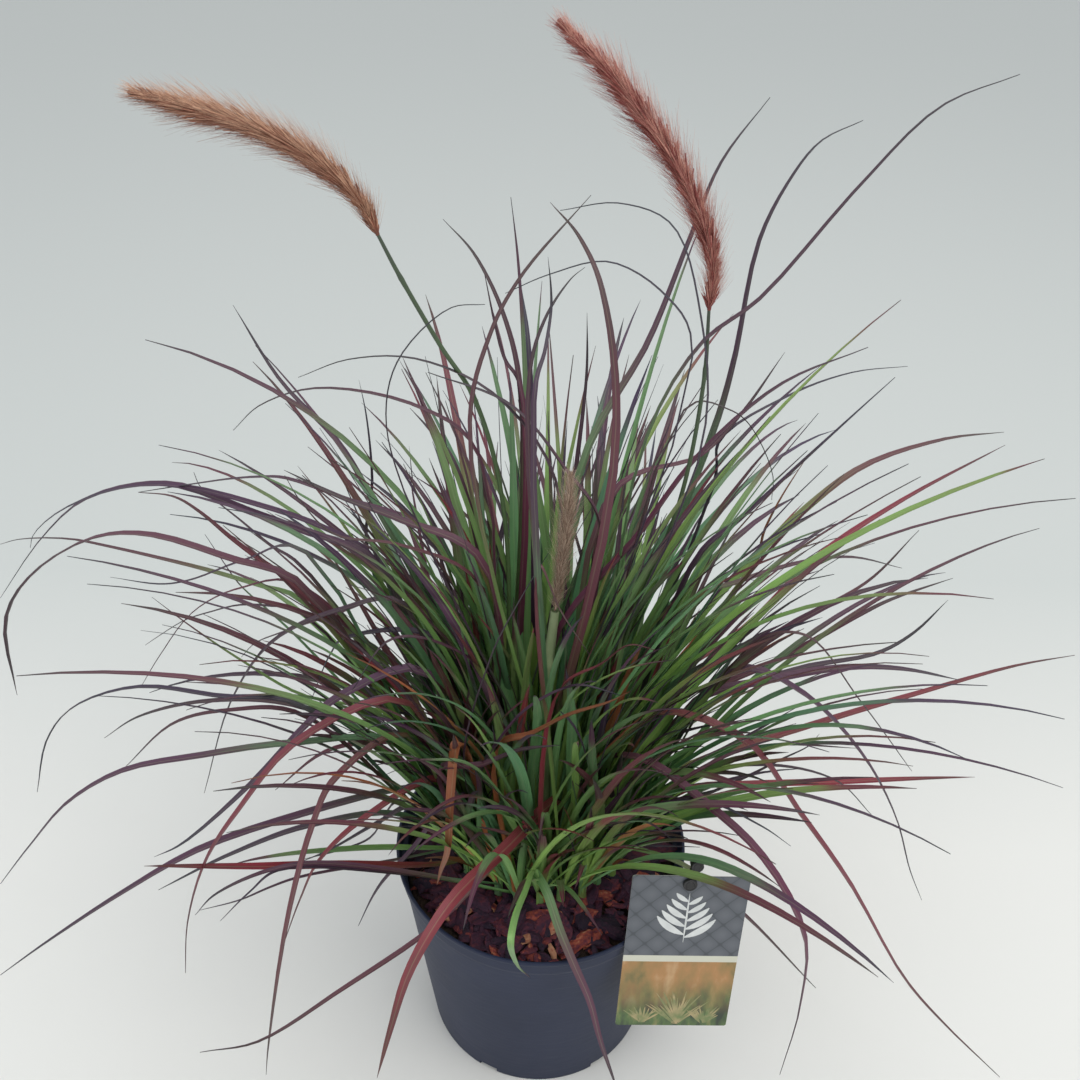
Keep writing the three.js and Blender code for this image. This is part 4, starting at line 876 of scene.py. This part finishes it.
# The midrib colour is partly the leaf's own paler rib and partly a painted highlight along its fold
DARK_LEAF, VEIN, MIDRIB_AND_HIGHLIGHT = (0.03, 0.032, 0.038), (0.02, 0.02, 0.012), (0.34, 0.38, 0.22)


def leaf_material():
    """Green at the base, through olive and purple to a dark tip, with fine veins along it."""
    p = Paint("leaf")
    across, pick = p.attribute("across"), p.attribute("pick")
    length = p.attribute("along")
    streaks = p.noise(1.0, vector=(p.times(across, 3.0), p.times(length, 0.035), p.times(pick, 90.0)))
    tone = p.plus(p.attribute("tone"), p.swing(streaks, 0.35), clamp=True)
    colour = p.mix(p.attribute("hue"), p.ramp(tone, PURPLE_RAMP), p.ramp(tone, CRIMSON_RAMP))
    # Painted light and shade, with each blade's own tone: its colour is scaled by a random factor from bluish
    # dark to warm bright
    colour = p.mix(1.0, colour, p.ramp(pick, BLADE_TINT_LIGHT_AND_SHADE), "MULTIPLY")
    colour = p.mix(p.attribute("dead"), colour, p.ramp(tone, DEAD_RAMP))
    colour = p.mix(p.times(p.attribute("dark"), 0.55), colour, DARK_LEAF)
    veins = p.times(p.plus(p.math("SINE", p.times(across, 26.0)), 1.0), 0.5)
    colour = p.mix(p.times(veins, 0.22), colour, VEIN)
    # A paler line down the midrib: partly the leaf's own rib, partly a painted highlight
    rib_and_highlight = p.minus(1.0, p.times(p.math("ABSOLUTE", across), 6.0), clamp=True)
    colour = p.mix(p.times(rib_and_highlight, 0.22), colour, MIDRIB_AND_HIGHLIGHT)
    p.bump(veins, 0.35, 0.0002)
    return p.done(colour, 0.46, 0.42)


def bristle_material(name, deep, middle, pale):
    """Bristles: deep-coloured at the root, and as pale at the tip as each one is; how pale each one is holds
    painted light, paler where it points up or towards the front.
    """
    p = Paint(name)
    # The pale value includes painted light on bristles that point up or towards the front
    share = p.plus(p.attribute("pale"), p.times(p.attribute("reach"), 0.35), clamp=True)
    share = p.plus(share, p.swing(p.noise(160.0), 0.5), clamp=True)
    return p.done(p.ramp(share, [(0, deep), (0.45, middle), (1, pale)]), 0.6)


def culm_material(name, low, high):
    p = Paint(name)
    share = p.plus(p.attribute("reach"), p.swing(p.noise(300.0), 0.5), clamp=True)
    return p.done(p.ramp(share, [(0, low), (1, high)]), 0.45)


def pot_material():
    """Grained slate-grey plastic with faint scuffs and a little dust."""
    p = Paint("slate_plastic")
    base = p.ramp(p.noise(14.0, 6.0), [(0.3, (0.009, 0.015, 0.04)), (0.7, (0.016, 0.023, 0.055))])
    scuffs = p.noise(60.0, 8.0, stretch=(1, 1, 9))
    dust = p.times(p.minus(scuffs, 0.58, clamp=True), 0.7)
    p.bump(p.noise(1400.0, 2.0), 0.25, 0.0002)
    return p.done(p.mix(dust, base, (0.16, 0.17, 0.175)), p.plus(p.times(scuffs, 0.2), 0.42), 0.3)


def bark_material():
    """Torn bark, from near black through maroon to orange, streaked along its grain."""
    p = Paint("torn_bark")
    u, v, pick = (p.attribute(name) for name in ("u", "v", "pick"))
    grain = p.noise(1.0, 6.0, (u, p.times(v, 5.0), p.times(pick, 70.0)))
    streaks = p.plus(p.times(grain, 0.7), p.times(p.noise(420.0, 6.0), 0.8))
    share = p.plus(p.attribute("tint"), p.minus(streaks, 0.75), clamp=True)
    p.bump(streaks, 0.9, 0.0015)
    return p.done(p.ramp(share, [(0, (0.014, 0.007, 0.022)), (0.35, (0.05, 0.012, 0.034)),
                                 (0.6, (0.125, 0.021, 0.034)), (0.82, (0.31, 0.062, 0.038)),
                                 (1, (0.46, 0.22, 0.13))]), 0.8)


def plain_material(name, scale, detail, stops, roughness, grain=None):
    """A clouded colour; grain is a bump's scale, detail, strength and depth."""
    p = Paint(name)
    if grain:
        p.bump(p.noise(*grain[:2]), *grain[2:])
    return p.done(p.ramp(p.noise(scale, detail), stops), roughness)


def label_material():
    """A grey quilted field over a pale band over an ochre and green picture, on plain card."""
    p = Paint("printed_card")
    x, y, z = p.place()
    slants = [p.times(p.plus(p.times(x, sign), z), 205.0) for sign in (1.0, -1.0)]
    waves = [p.math("ABSOLUTE", p.math("SINE", slant)) for slant in slants]
    quilt = p.ramp(p.times(*waves), [(0, (0.055, 0.064, 0.076)), (0.12, (0.092, 0.102, 0.12)),
                                     (1, (0.118, 0.128, 0.148))])
    far = p.ramp(p.noise(70.0, 5.0, stretch=(1, 1, 0.5)),
                 [(0.32, (0.13, 0.13, 0.05)), (0.45, (0.3, 0.19, 0.07)), (0.58, (0.4, 0.21, 0.08)),
                  (0.74, (0.55, 0.37, 0.2))])
    near = p.ramp(p.noise(150.0, 6.0, stretch=(1, 1, 0.35)),
                  [(0.35, (0.03, 0.045, 0.03)), (0.55, (0.09, 0.15, 0.05)), (0.72, (0.28, 0.24, 0.1))])
    plain = p.ramp(p.noise(40.0), [(0.3, (0.42, 0.43, 0.43)), (0.7, (0.47, 0.48, 0.48))])
    picture = p.mix(p.share(z, -0.05, -0.02), near, far)
    lower = p.mix(p.share(z, -0.00655, -0.00645), picture, (0.6, 0.6, 0.5))
    front = p.mix(p.share(z, -0.00165, -0.00155), lower, quilt)
    return p.done(p.mix(p.share(y, 0.0003, 0.0005), front, plain), 0.3)


def floor_material():
    """A white table top that turns slightly greyer behind the pot."""
    p = Paint("pale_floor")
    colour = p.mix(p.share(p.place()["Y"], 0.12, 0.5), (0.72, 0.725, 0.7), (0.57, 0.6, 0.585))
    return p.done(p.mix(p.times(p.noise(3.0), 0.04), colour, (0.6, 0.6, 0.6)), 0.7)


# Pot, soil and bark

BOX_FACES = np.array([[0, 1, 3, 2], [4, 6, 7, 5], [0, 4, 5, 1], [2, 3, 7, 6], [0, 2, 6, 4], [1, 5, 7, 3]])


def add_box(pile, low, high, azimuth):
    """A box between two corners, turned about the pot's axis."""
    (x0, y0, z0), (x1, y1, z1) = low, high
    corners = np.array([[x, y, z] for x in (x0, x1) for y in (y0, y1) for z in (z0, z1)], float)
    c, s = math.cos(math.radians(azimuth)), math.sin(math.radians(azimuth))
    pile.add(corners @ np.array([[c, s, 0], [-s, c, 0], [0, 0, 1]]), BOX_FACES)


def lathe(pile, profile, sides):
    """A surface of revolution; a profile that starts and ends on the axis closes it."""
    profile = np.asarray(profile, float)
    c, s = circle(sides)
    points = np.stack([profile[:, None, 0] * c, profile[:, None, 0] * s,
                       np.repeat(profile[:, None, 1], sides, axis=1)], axis=2)
    pile.add(points.reshape(-1, 3), ring_faces(len(profile), sides))


def body_radius(height):
    top = POT["height"] - POT["band"]
    return lerp(POT["base"], POT["rim"] - POT["step"], height / top)


def sharpen(piece, degrees=32):
    piece.data.set_sharp_from_angle(angle=math.radians(degrees))


def cut(piece, cutter):
    """Cuts one piece out of another and drops the cutter."""
    modifier = piece.modifiers.new("cut", "BOOLEAN")
    modifier.operation = "DIFFERENCE"
    modifier.object = cutter
    bpy.context.view_layer.update()
    evaluated = piece.evaluated_get(bpy.context.evaluated_depsgraph_get())
    mesh = bpy.data.meshes.new_from_object(evaluated)
    piece.modifiers.clear()
    piece.data = mesh
    bpy.data.objects.remove(cutter)


NOTCHES = {"count": 6, "first": 4.0, "half": np.array([7.0, 6.5, 5.0])}


def build_pot():
    height, rim, wall, base = POT["height"], POT["rim"], POT["wall"], POT["base"]
    foot = height - POT["band"]
    inner = rim - wall
    profile = [
        [0.0, 0.6], [base - 9, 0.6], [base - 8.4, 0], [base - 1.2, 0], [base - 0.4, 0.3],
        *([body_radius(z), z] for z in (1, 2, foot * 0.5, foot - 0.6, foot)),
        [rim - 2.6, foot + 0.3], [rim - 2.2, foot + 0.9], [rim - 2.0, foot + 3.2], [rim - 1.6, foot + 3.5],
        [rim - 1.2, foot + 11.2], [rim - 0.35, foot + 11.8], [rim, foot + 12.4], [rim, height - 0.7],
        [rim - 0.25, height - 0.2], [rim - 0.7, height], [inner + 0.5, height], [inner + 0.1, height - 0.3],
        [inner, height - 0.8], [inner - 1, foot + 2], [body_radius(foot) - wall, foot],
        [body_radius(3) - wall, 3], [0.0, 3],
    ]
    shell, notches = Pile(), Pile()
    lathe(shell, profile, 180)
    middle = np.array([base, 0, 0])
    for k in range(NOTCHES["count"]):
        turn = NOTCHES["first"] + k * 360 / NOTCHES["count"]
        add_box(notches, middle - NOTCHES["half"], middle + NOTCHES["half"], turn)
    pot = shell.piece("pot_shell", pot_material())
    cut(pot, notches.piece("notches", pot.data.materials[0]))
    sharpen(pot)
    declare(pot, "pot", "pot")


SOIL = {"gap": 2.6, "floor": 3.6, "shoulder": 140.0, "top": 142.6, "rings": 24, "rough": (-0.9, 0.5)}


def build_soil():
    """Uneven soil that fills the pot."""
    draw = np.random.default_rng(5)
    pile = Pile()
    edge = body_radius(SOIL["shoulder"]) - SOIL["gap"]
    inside = [[0.0, SOIL["floor"]], [body_radius(3) - SOIL["gap"], SOIL["floor"]], [edge, SOIL["shoulder"]]]
    surface = [[edge * (1 - k / SOIL["rings"]), SOIL["top"]] for k in range(SOIL["rings"] + 1)]
    lathe(pile, inside + surface, 96)
    points = pile.points[0]
    top = points[:, 2] > (SOIL["shoulder"] + SOIL["top"]) / 2
    points[top, 2] += draw.uniform(*SOIL["rough"], top.sum())
    stops = [(0.35, (0.012, 0.007, 0.005)), (0.65, (0.045, 0.024, 0.016))]
    material = plain_material("potting_soil", 220.0, 8.0, stops, 0.95, (500.0, 8.0, 1.0, 0.002))
    declare(pile.piece("soil_bed", material), "soil", "soil")


# The torn chips on the soil: how many, the share of small ones, and their lengths; round a chip its
# sides, along it its taper from ring to ring, and the faces that close its ends
BARK = {"count": 820, "small": 0.55, "lengths": ((12, 27), (5, 12)), "thickest": 5.5,
        "radius": 88.5, "bottom": 144.3, "depth": 4.2}
CHIP_SIDES = 6
CHIP_TAPER = [0.45, 0.9, 1, 0.92, 0.4]
CHIP_CAPS = np.array([[0, 5, 4, 3], [0, 3, 2, 1], [24, 25, 26, 27], [24, 27, 28, 29]])
TINTS = {"values": [0.1, 0.3, 0.42, 0.55, 0.8, 1.0], "shares": [0.22, 0.3, 0.22, 0.14, 0.09, 0.03]}


def chip_shape(draw, length, width, height):
    """A torn chip: a bar of uneven rings with blunt ragged ends, and its point values u and v."""
    rings, sides = len(CHIP_TAPER), CHIP_SIDES
    turns = (np.arange(sides) + 0.5) / sides * math.tau
    along = np.linspace(0, 1, rings)
    points = []
    for s, taper in zip(along, CHIP_TAPER):
        spread = draw.uniform(0.78, 1.15, sides)
        ragged = draw.uniform(-0.08, 0.08, sides) * length
        points.append(np.stack([(s - 0.5) * length + ragged, np.cos(turns) * width / 2 * taper * spread,
                                np.sin(turns) * height / 2 * taper * spread], axis=1))
    points = np.concatenate(points)
    points[:, 2] += (points[:, 0] / length) ** 2 * draw.uniform(-0.4, 0.4) * height
    values = {"u": np.repeat(along, sides), "v": np.tile(np.arange(sides) / sides, rings)}
    return points, np.concatenate([ring_faces(rings, sides), CHIP_CAPS]), values


def build_bark():
    draw = np.random.default_rng(7)
    pile = Pile()
    for _ in range(BARK["count"]):
        small = draw.random() < BARK["small"]
        length = draw.uniform(*BARK["lengths"][small])
        width = length * draw.uniform(0.3, 0.65)
        height = min(width * draw.uniform(0.3, 0.6), BARK["thickest"])
        points, faces, values = chip_shape(draw, length, width, height)
        radius = (BARK["radius"] - length * 0.4) * math.sqrt(draw.uniform(0.02, 1))
        place = heading(draw.uniform(0, 360)) * radius
        place[2] = BARK["bottom"] + draw.uniform(0, BARK["depth"]) * (1.0 if small else 0.7)
        turn, pitch, roll = draw.uniform(0, math.tau), draw.uniform(-0.32, 0.32), draw.uniform(-0.5, 0.5)
        spin = Matrix.Rotation(turn, 3, "Z") @ Matrix.Rotation(pitch, 3, "Y") @ Matrix.Rotation(roll, 3, "X")
        tint = draw.choice(TINTS["values"], p=TINTS["shares"]) + draw.uniform(-0.08, 0.08)
        pile.add(points @ np.array(spin).T + place, faces, tint=tint, pick=draw.random(), **values)
    declare(pile.piece("bark_chips", bark_material(), smooth=False), "bark", "bark_mulch")


# Flower stalks and plumes

STALKS = [
    {"name": "left", "foot": (-26, 2), "toward": 178, "fullness": 1.0, "culm": 1.05,
     "stalk": [505, 520, 475, 400, 440, 345, 398, 273, 378, 235],
     "plume": [378, 235, 364, 207, 330, 172, 284, 142, 238, 122, 192, 109, 146, 96, 128, 92]},
    {"name": "right", "foot": (26, 3), "toward": 2, "fullness": 1.0, "culm": 1.05,
     "stalk": [625, 640, 680, 500, 704, 380, 709, 310],
     "plume": [709, 310, 713, 275, 708, 241, 697, 207, 681, 174, 662, 142, 612, 76, 577, 41, 558, 19.5]},
    {"name": "young", "foot": (1, -21.5), "toward": 0, "fullness": 0.6, "culm": 3.1,
     "stalk": [545, 790, 546, 690, 555, 610],
     "plume": [555, 610, 561, 570, 566, 530, 569, 500, 570, 472]},
]
JOINTS = (0.42, 0.78)
PLUME_CORE = 3.4

# The florets and the bristles of a plume: how many, their length, how far they lean out, their
# radius and how much it follows the plume's fullness, their sides, and how much darker they are
SPIKES = [
    {"count": 820, "length": 9.0, "lean": (16, 38), "radius": (0.55, 0.85), "follows": 0.5, "sides": 5,
     "darker": 0.4},
    {"count": 3800, "length": 20.5, "lean": (14, 42), "radius": (0.05, 0.085), "follows": 0, "sides": 3,
     "darker": 0},
]
SPIKE_STEPS = 3
CULM_PAINTS = {
    "green_stalk": ((0.07, 0.13, 0.04), (0.045, 0.06, 0.042)),
    "pale_stalk": ((0.15, 0.25, 0.08), (0.28, 0.34, 0.19)),
}
PLUME_PAINTS = {
    "left": ("brown_rose_bristles", (0.07, 0.02, 0.012), (0.27, 0.095, 0.055), (0.72, 0.45, 0.3)),
    "right": ("dusty_rose_bristles", (0.1, 0.016, 0.016), (0.32, 0.075, 0.065), (0.8, 0.46, 0.36)),
    "young": ("tan_bristles", (0.13, 0.085, 0.055), (0.4, 0.27, 0.2), (0.85, 0.7, 0.55)),
}


def plume_share(s):
    """How full a plume is along its length, from 0 to 1."""
    return np.minimum(1, 0.35 + 3.2 * s) * np.minimum(1, 0.25 + 2.6 * (1 - s))


def plume_frames(path, s):
    """Points, tangents and two vectors across, at shares of a path's length."""
    reach = reach_along(path)
    reach /= reach[-1]
    tangents = np.gradient(path, axis=0)
    points, along = (np.stack([np.interp(s, reach, rows[:, k]) for k in range(3)], axis=1)
                     for rows in (path, tangents))
    along = unit_rows(along)
    return points, along, *crosswise(along, [-0.05, -0.98, -0.1])


def add_hairs(pile, roots, ways, droops, lengths, radii, sides, pale):
    """Many thin curved spikes at once; each value is given for each spike."""
    t = np.linspace(0, 1, SPIKE_STEPS + 1)
    lines = roots[:, None] + ways[:, None] * (lengths[:, None] * t)[..., None]
    lines += droops[:, None] * (lengths[:, None] * t**2)[..., None]
    out = spokes(*crosswise(ways, [0.2, 0.3, 0.93]), sides)
    thin = (radii[:, None] * np.interp(t, [0, 0.3, 1], [1, 0.85, 0.25]))[..., None, None]
    points = lines[:, :, None] + out[:, None] * thin
    each = len(t) * sides
    faces = ring_faces(len(t), sides)[None] + np.arange(len(roots))[:, None, None] * each
    pile.add(points.reshape(-1, 3), faces.reshape(-1, 4), pale=np.repeat(pale, each),
             reach=np.tile(np.repeat(t, sides), len(roots)))


def build_culm(stalk, foot, material):
    knee = np.array([*stalk["foot"], SOIL_TOP + STEM["straight"]])
    marks = pixel_path(stalk["stalk"], foot, stalk["toward"])
    stem = np.vstack([foot, smooth_curve([knee, *marks], 60)])
    reach = np.linspace(0, 1, len(stem))
    swell = sum((0.45 * np.exp(-((reach - joint) / 0.008) ** 2) for joint in JOINTS), 1.0)
    pile = Pile()
    tube(pile, stem, stalk["culm"] * np.interp(reach, [0, 0.8, 1], [1.25, 1, 0.75]) * swell, 10, reach=reach)
    declare(pile.piece("stalk_" + stalk["name"], material), "stalk", "culm_" + stalk["name"])


def build_plume(stalk, foot, material):
    name, fullness = stalk["name"], stalk["fullness"]
    path = smooth_curve(pixel_path(stalk["plume"], foot, stalk["toward"]), 80)
    draw = np.random.default_rng(len(name) + 40)
    pile = Pile()
    s = np.linspace(0, 1, len(path))
    tube(pile, path, PLUME_CORE * 0.55 * fullness * plume_share(s) + 0.3, 8, pale=0.1, reach=0.1 * s)
    for spike in SPIKES:
        count = int(spike["count"] * fullness**1.6)
        s = np.sort(draw.uniform(0.005, 0.975, count))
        roots, along, across, third = plume_frames(path, s)
        spin = draw.uniform(0, math.tau, count)
        out = across * np.cos(spin)[:, None] + third * np.sin(spin)[:, None]
        lean = np.radians(draw.uniform(*spike["lean"], count))[:, None]
        ways = along * np.cos(lean) + out * np.sin(lean)
        share = plume_share(s)
        roots = roots + out * (PLUME_CORE * 0.4 * fullness * share * draw.uniform(0.3, 1, count))[:, None]
        full = np.maximum(np.interp(s, [0, 0.12], [0.8, 0.6]), share)
        ending = np.interp(s, [0, 0.9, 1], [1, 1, 0.55])
        lengths = spike["length"] * np.sqrt(fullness) * full * ending * draw.uniform(0.5, 1.1, count)
        droops = (along * 0.25 - out * 0.12) * draw.uniform(0, 1, (count, 1))
        # Painted light: bristles that point up or towards the front are made paler, as if lit from above and
        # in front
        upper = np.clip(0.5 + out[:, 2] * 0.45 - out[:, 1] * 0.25, 0, 1)
        pale = np.clip(upper * draw.uniform(0.2, 1.1, count) - spike["darker"], 0, 1)
        radii = draw.uniform(*spike["radius"], count) * fullness ** spike["follows"]
        add_hairs(pile, roots, ways, droops, lengths, radii, spike["sides"], pale)
    slot = "young_plume" if name == "young" else "plume"
    declare(pile.piece("seedhead_" + name, material), slot, "plume_" + name)


def build_stalks():
    culms = {name: culm_material(name, *colours) for name, colours in CULM_PAINTS.items()}
    for stalk in STALKS:
        foot = np.array([*stalk["foot"], SHEATH_FOOT])
        build_culm(stalk, foot, culms["pale_stalk" if stalk["name"] == "young" else "green_stalk"])
        build_plume(stalk, foot, bristle_material(*PLUME_PAINTS[stalk["name"]]))


# Label and clip; the label's own frame has x to its right, y to its back and z up

TAG = {"width": 70.0, "height": 119.0, "thickness": 0.8, "corner": 1.5, "hole": 2.6}
TAG_PLACE = np.array([85.8, -81.2, 155.1])
TAG_AXES = np.array(Matrix.Rotation(math.radians(2.9), 3, "Z") @ Matrix.Rotation(math.radians(-11), 3, "X")
                    @ Matrix.Rotation(math.radians(3.1), 3, "Y"))
PIN = (-1.0, 54.5)
KNOB = (2.4, 66.0)
HOOK = {"azimuth": -42, "top": 165.3, "outside": 97.7, "inside": 88.7, "thick": 2.4, "width": 8.0,
        "outer_drop": 14.4, "inner_drop": 7.4}


def tag_object(pile, name, material, smooth=False):
    piece = pile.piece(name, material, smooth)
    piece.matrix_world = Matrix.Translation(TAG_PLACE * MM) @ Matrix(TAG_AXES.tolist()).to_4x4()
    return piece


def in_world(x, y, z):
    return TAG_AXES @ np.array([x, y, z], float) + TAG_PLACE


def card_outline():
    half_width, half_height, corner = TAG["width"] / 2, TAG["height"] / 2, TAG["corner"]
    points = []
    for k, (sx, sz) in enumerate(((1, 1), (-1, 1), (-1, -1), (1, -1))):
        for step in range(7):
            turn = math.radians(90 * k + 15 * step)
            points.append((sx * (half_width - corner) + corner * math.cos(turn),
                           sz * (half_height - corner) + corner * math.sin(turn)))
    return points


def build_card(material):
    """The card with its punched hole."""
    outer = card_outline()
    count = len(outer)
    turns = [k / count * math.tau for k in range(count)]
    hole = [(PIN[0] + TAG["hole"] * math.cos(t), PIN[1] + TAG["hole"] * math.sin(t)) for t in reversed(turns)]
    triangles = np.array(tessellate_polygon([[Vector((*p, 0)) for p in ring] for ring in (outer, hole)]))
    front = np.array([(x, 0.0, z) for x, z in [*outer, *hole]])
    back = front + [0, TAG["thickness"], 0]
    pile = Pile()
    pile.add(front, triangles)
    pile.add(back, triangles[:, ::-1])
    for edge in (slice(0, count), slice(count, 2 * count)):
        pile.add(np.concatenate([front[edge], back[edge]]), ring_faces(2, count))
    declare(tag_object(pile, "label_card", material), "label", "tag")


def add_leaf(pile, x, z, turn, length, width, bend=0.0, depth=0.12):
    """A flat printed leaf shape that stands just off the card's face."""
    s = np.linspace(0, 1, 9)
    turns = math.radians(turn) + math.radians(bend) * s
    step = length / (len(s) - 1)
    px = x + np.concatenate([[0], np.cumsum(np.cos(turns[:-1]))]) * step
    pz = z + np.concatenate([[0], np.cumsum(np.sin(turns[:-1]))]) * step
    half = width / 2 * np.sin(np.pi * np.clip(s, 0.02, 0.98)) ** 0.7
    middle = np.stack([px, np.full(len(s), -depth), pz], axis=1)
    right = np.stack([np.sin(turns) * half, np.zeros(len(s)), -np.cos(turns) * half], axis=1)
    points = np.stack([middle - right, middle + right], axis=1).reshape(-1, 3)
    pile.add(points, strip_faces(len(s), 2))


def print_material(name, low, high):
    return plain_material(name, 120.0, 4.0, [(0.35, low), (0.65, high)], 0.35)


def build_label():
    build_card(label_material())
    sprig = Pile()
    add_leaf(sprig, 0, 9, 90, 38, 1.2)
    for k in range(5):
        z, length, width = 13 + 6.4 * k, 23 - 3.2 * k, 4.8 - 0.4 * k
        add_leaf(sprig, 0, z, 24, length, width, 34)
        add_leaf(sprig, 0, z + 2.2, 156, length, width, -34)
    pale = print_material("pale_print", (0.6, 0.62, 0.62), (0.7, 0.72, 0.71))
    declare(tag_object(sprig, "label_sprig", pale), "label")
    tufts = Pile()
    draw = np.random.default_rng(21)
    for x, z, count, size in ((-19, -57, 16, 17), (2, -58, 22, 30), (20, -57, 15, 17)):
        for k in range(count):
            turn = 90 + (k / (count - 1) - 0.5) * 90
            add_leaf(tufts, x + draw.uniform(-2, 2), z, turn, size * draw.uniform(0.6, 1), 1.3,
                     (turn - 90) * draw.uniform(0.1, 0.4), 0.08 + 0.002 * k)
    sand = print_material("printed_tufts", (0.13, 0.19, 0.07), (0.42, 0.33, 0.17))
    declare(tag_object(tufts, "label_tufts", sand), "label")


def disc(pile, centre, front, back, radius):
    """A round knob, with its edge rounded and a shallow ring pressed in at the front."""
    rounding, sides = 0.5, 32
    rows = [(front, 0.01), (front, radius * 0.55), (front + 0.3, radius * 0.62), (front + 0.3, radius * 0.7),
            (front, radius - rounding), (front + rounding * 0.4, radius - rounding * 0.3),
            (front + rounding, radius), (back, radius), (back, 0.01)]
    c, s = circle(sides)
    points = [np.stack([centre[0] + r * c, np.full(sides, y), centre[1] + r * s], axis=1) for y, r in rows]
    pile.add(np.concatenate(points), ring_faces(len(rows), sides))


def bevel(piece, width):
    modifier = piece.modifiers.new("edges", "BEVEL")
    modifier.width = width * MM
    modifier.segments = 2
    modifier.limit_method = "ANGLE"


def build_clip():
    """The pin and a second knob, the arm that joins them to the hook, and the hook over the rim."""
    stops = [(0.3, (0.006, 0.006, 0.007)), (0.7, (0.014, 0.014, 0.016))]
    material = plain_material("black_plastic", 90.0, 4.0, stops, 0.38, (900.0, 2.0, 0.2, 0.0002))
    (pin_x, pin_z), (knob_x, knob_z) = PIN, KNOB
    knobs, arm, hooks = Pile(), Pile(), Pile()
    disc(knobs, PIN, -2.3, -0.3, 4.2)
    disc(knobs, KNOB, 0, 5, 3.78)
    outside, inside, top, thick = HOOK["outside"], HOOK["inside"], HOOK["top"], HOOK["thick"]
    meeting = heading(HOOK["azimuth"]) * (outside - thick / 2) + np.array([0, 0, top - thick / 2])
    line = smooth_curve([in_world(knob_x, 4, knob_z), in_world(pin_x, 4, pin_z), meeting], 10)
    tube(arm, line, np.full(len(line), 2.1), 12)
    tube(arm, np.array([in_world(pin_x, -1, pin_z), in_world(pin_x, 4.4, pin_z)]), [2.1, 2.1], 20)
    for near, far, drop in ((outside - thick, outside, HOOK["outer_drop"]), (inside, outside, thick),
                            (inside, inside + thick, HOOK["inner_drop"])):
        half = HOOK["width"] / 2
        add_box(hooks, (near, -half, top - drop), (far, half, top), HOOK["azimuth"])
    head = tag_object(knobs, "clip_knobs", material, smooth=True)
    sharpen(head, 40)
    declare(head, "clip", "tag_clip")
    declare(arm.piece("clip_arm", material), "clip")
    hook = hooks.piece("clip_hook", material, smooth=False)
    bevel(hook, 0.4)
    declare(hook, "clip")


# Studio

def build_floor():
    pile = Pile()
    size = 9000.0
    pile.add(np.array([[-size, -size, 0], [size, -size, 0], [size, size, 0], [-size, size, 0]]),
             np.array([[0, 1, 2, 3]]))
    pile.piece("floor", floor_material(), smooth=False)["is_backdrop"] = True


def add_light(name, place, target, size, power, colour):
    light = bpy.data.lights.new(name, "AREA")
    light.shape = "SQUARE"
    light.size = size
    light.energy = power
    light.color = colour
    lamp = bpy.data.objects.new(name, light)
    lamp.location = place
    lamp.rotation_euler = (Vector(target) - Vector(place)).to_track_quat("-Z", "Y").to_euler()
    bpy.context.scene.collection.objects.link(lamp)


def light_studio():
    world = bpy.data.worlds.new("pale_room")
    world.use_nodes = True
    background = world.node_tree.nodes["Background"]
    background.inputs["Color"].default_value = (0.96, 0.98, 1.0, 1)
    background.inputs["Strength"].default_value = 0.8
    bpy.context.scene.world = world
    add_light("key", (0.9, -0.7, 2.1), (0, 0, 0.25), 1.4, 20, (1.0, 0.97, 0.93))
    add_light("fill", (-1.6, -1.2, 1.3), (0, 0, 0.25), 1.6, 8, (0.94, 0.97, 1.0))
    add_light("top", (0.1, 0.6, 2.6), (0, 0, 0.2), 1.8, 8, (1.0, 1.0, 1.0))


def place_camera():
    camera = bpy.data.cameras.new("camera")
    camera.sensor_width = 36
    camera.sensor_fit = "HORIZONTAL"
    camera.lens = camera.sensor_width * FOCAL / FRAME_WIDTH
    camera.clip_end = 50
    holder = bpy.data.objects.new("camera", camera)
    columns = np.array([RIGHT, UPWARD, -FORWARD]).T
    holder.matrix_world = Matrix.Translation(EYE * MM) @ Matrix(columns.tolist()).to_4x4()
    bpy.context.scene.collection.objects.link(holder)
    bpy.context.scene.camera = holder


def write_sizes():
    """The box of the solids and of the finished picture, as plain lists."""
    bpy.context.view_layer.update()
    boxes = {"cad": CAD_BOX, "visual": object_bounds()}
    plain = {name: [[float(v) for v in corner] for corner in box] for name, box in boxes.items()}


build_pot()
build_soil()
build_bark()
grow_shoots(leaf_material())
build_stalks()
build_label()
build_clip()
build_floor()
light_studio()
place_camera()
bpy.context.scene.view_settings.view_transform = "Standard"
write_sizes()
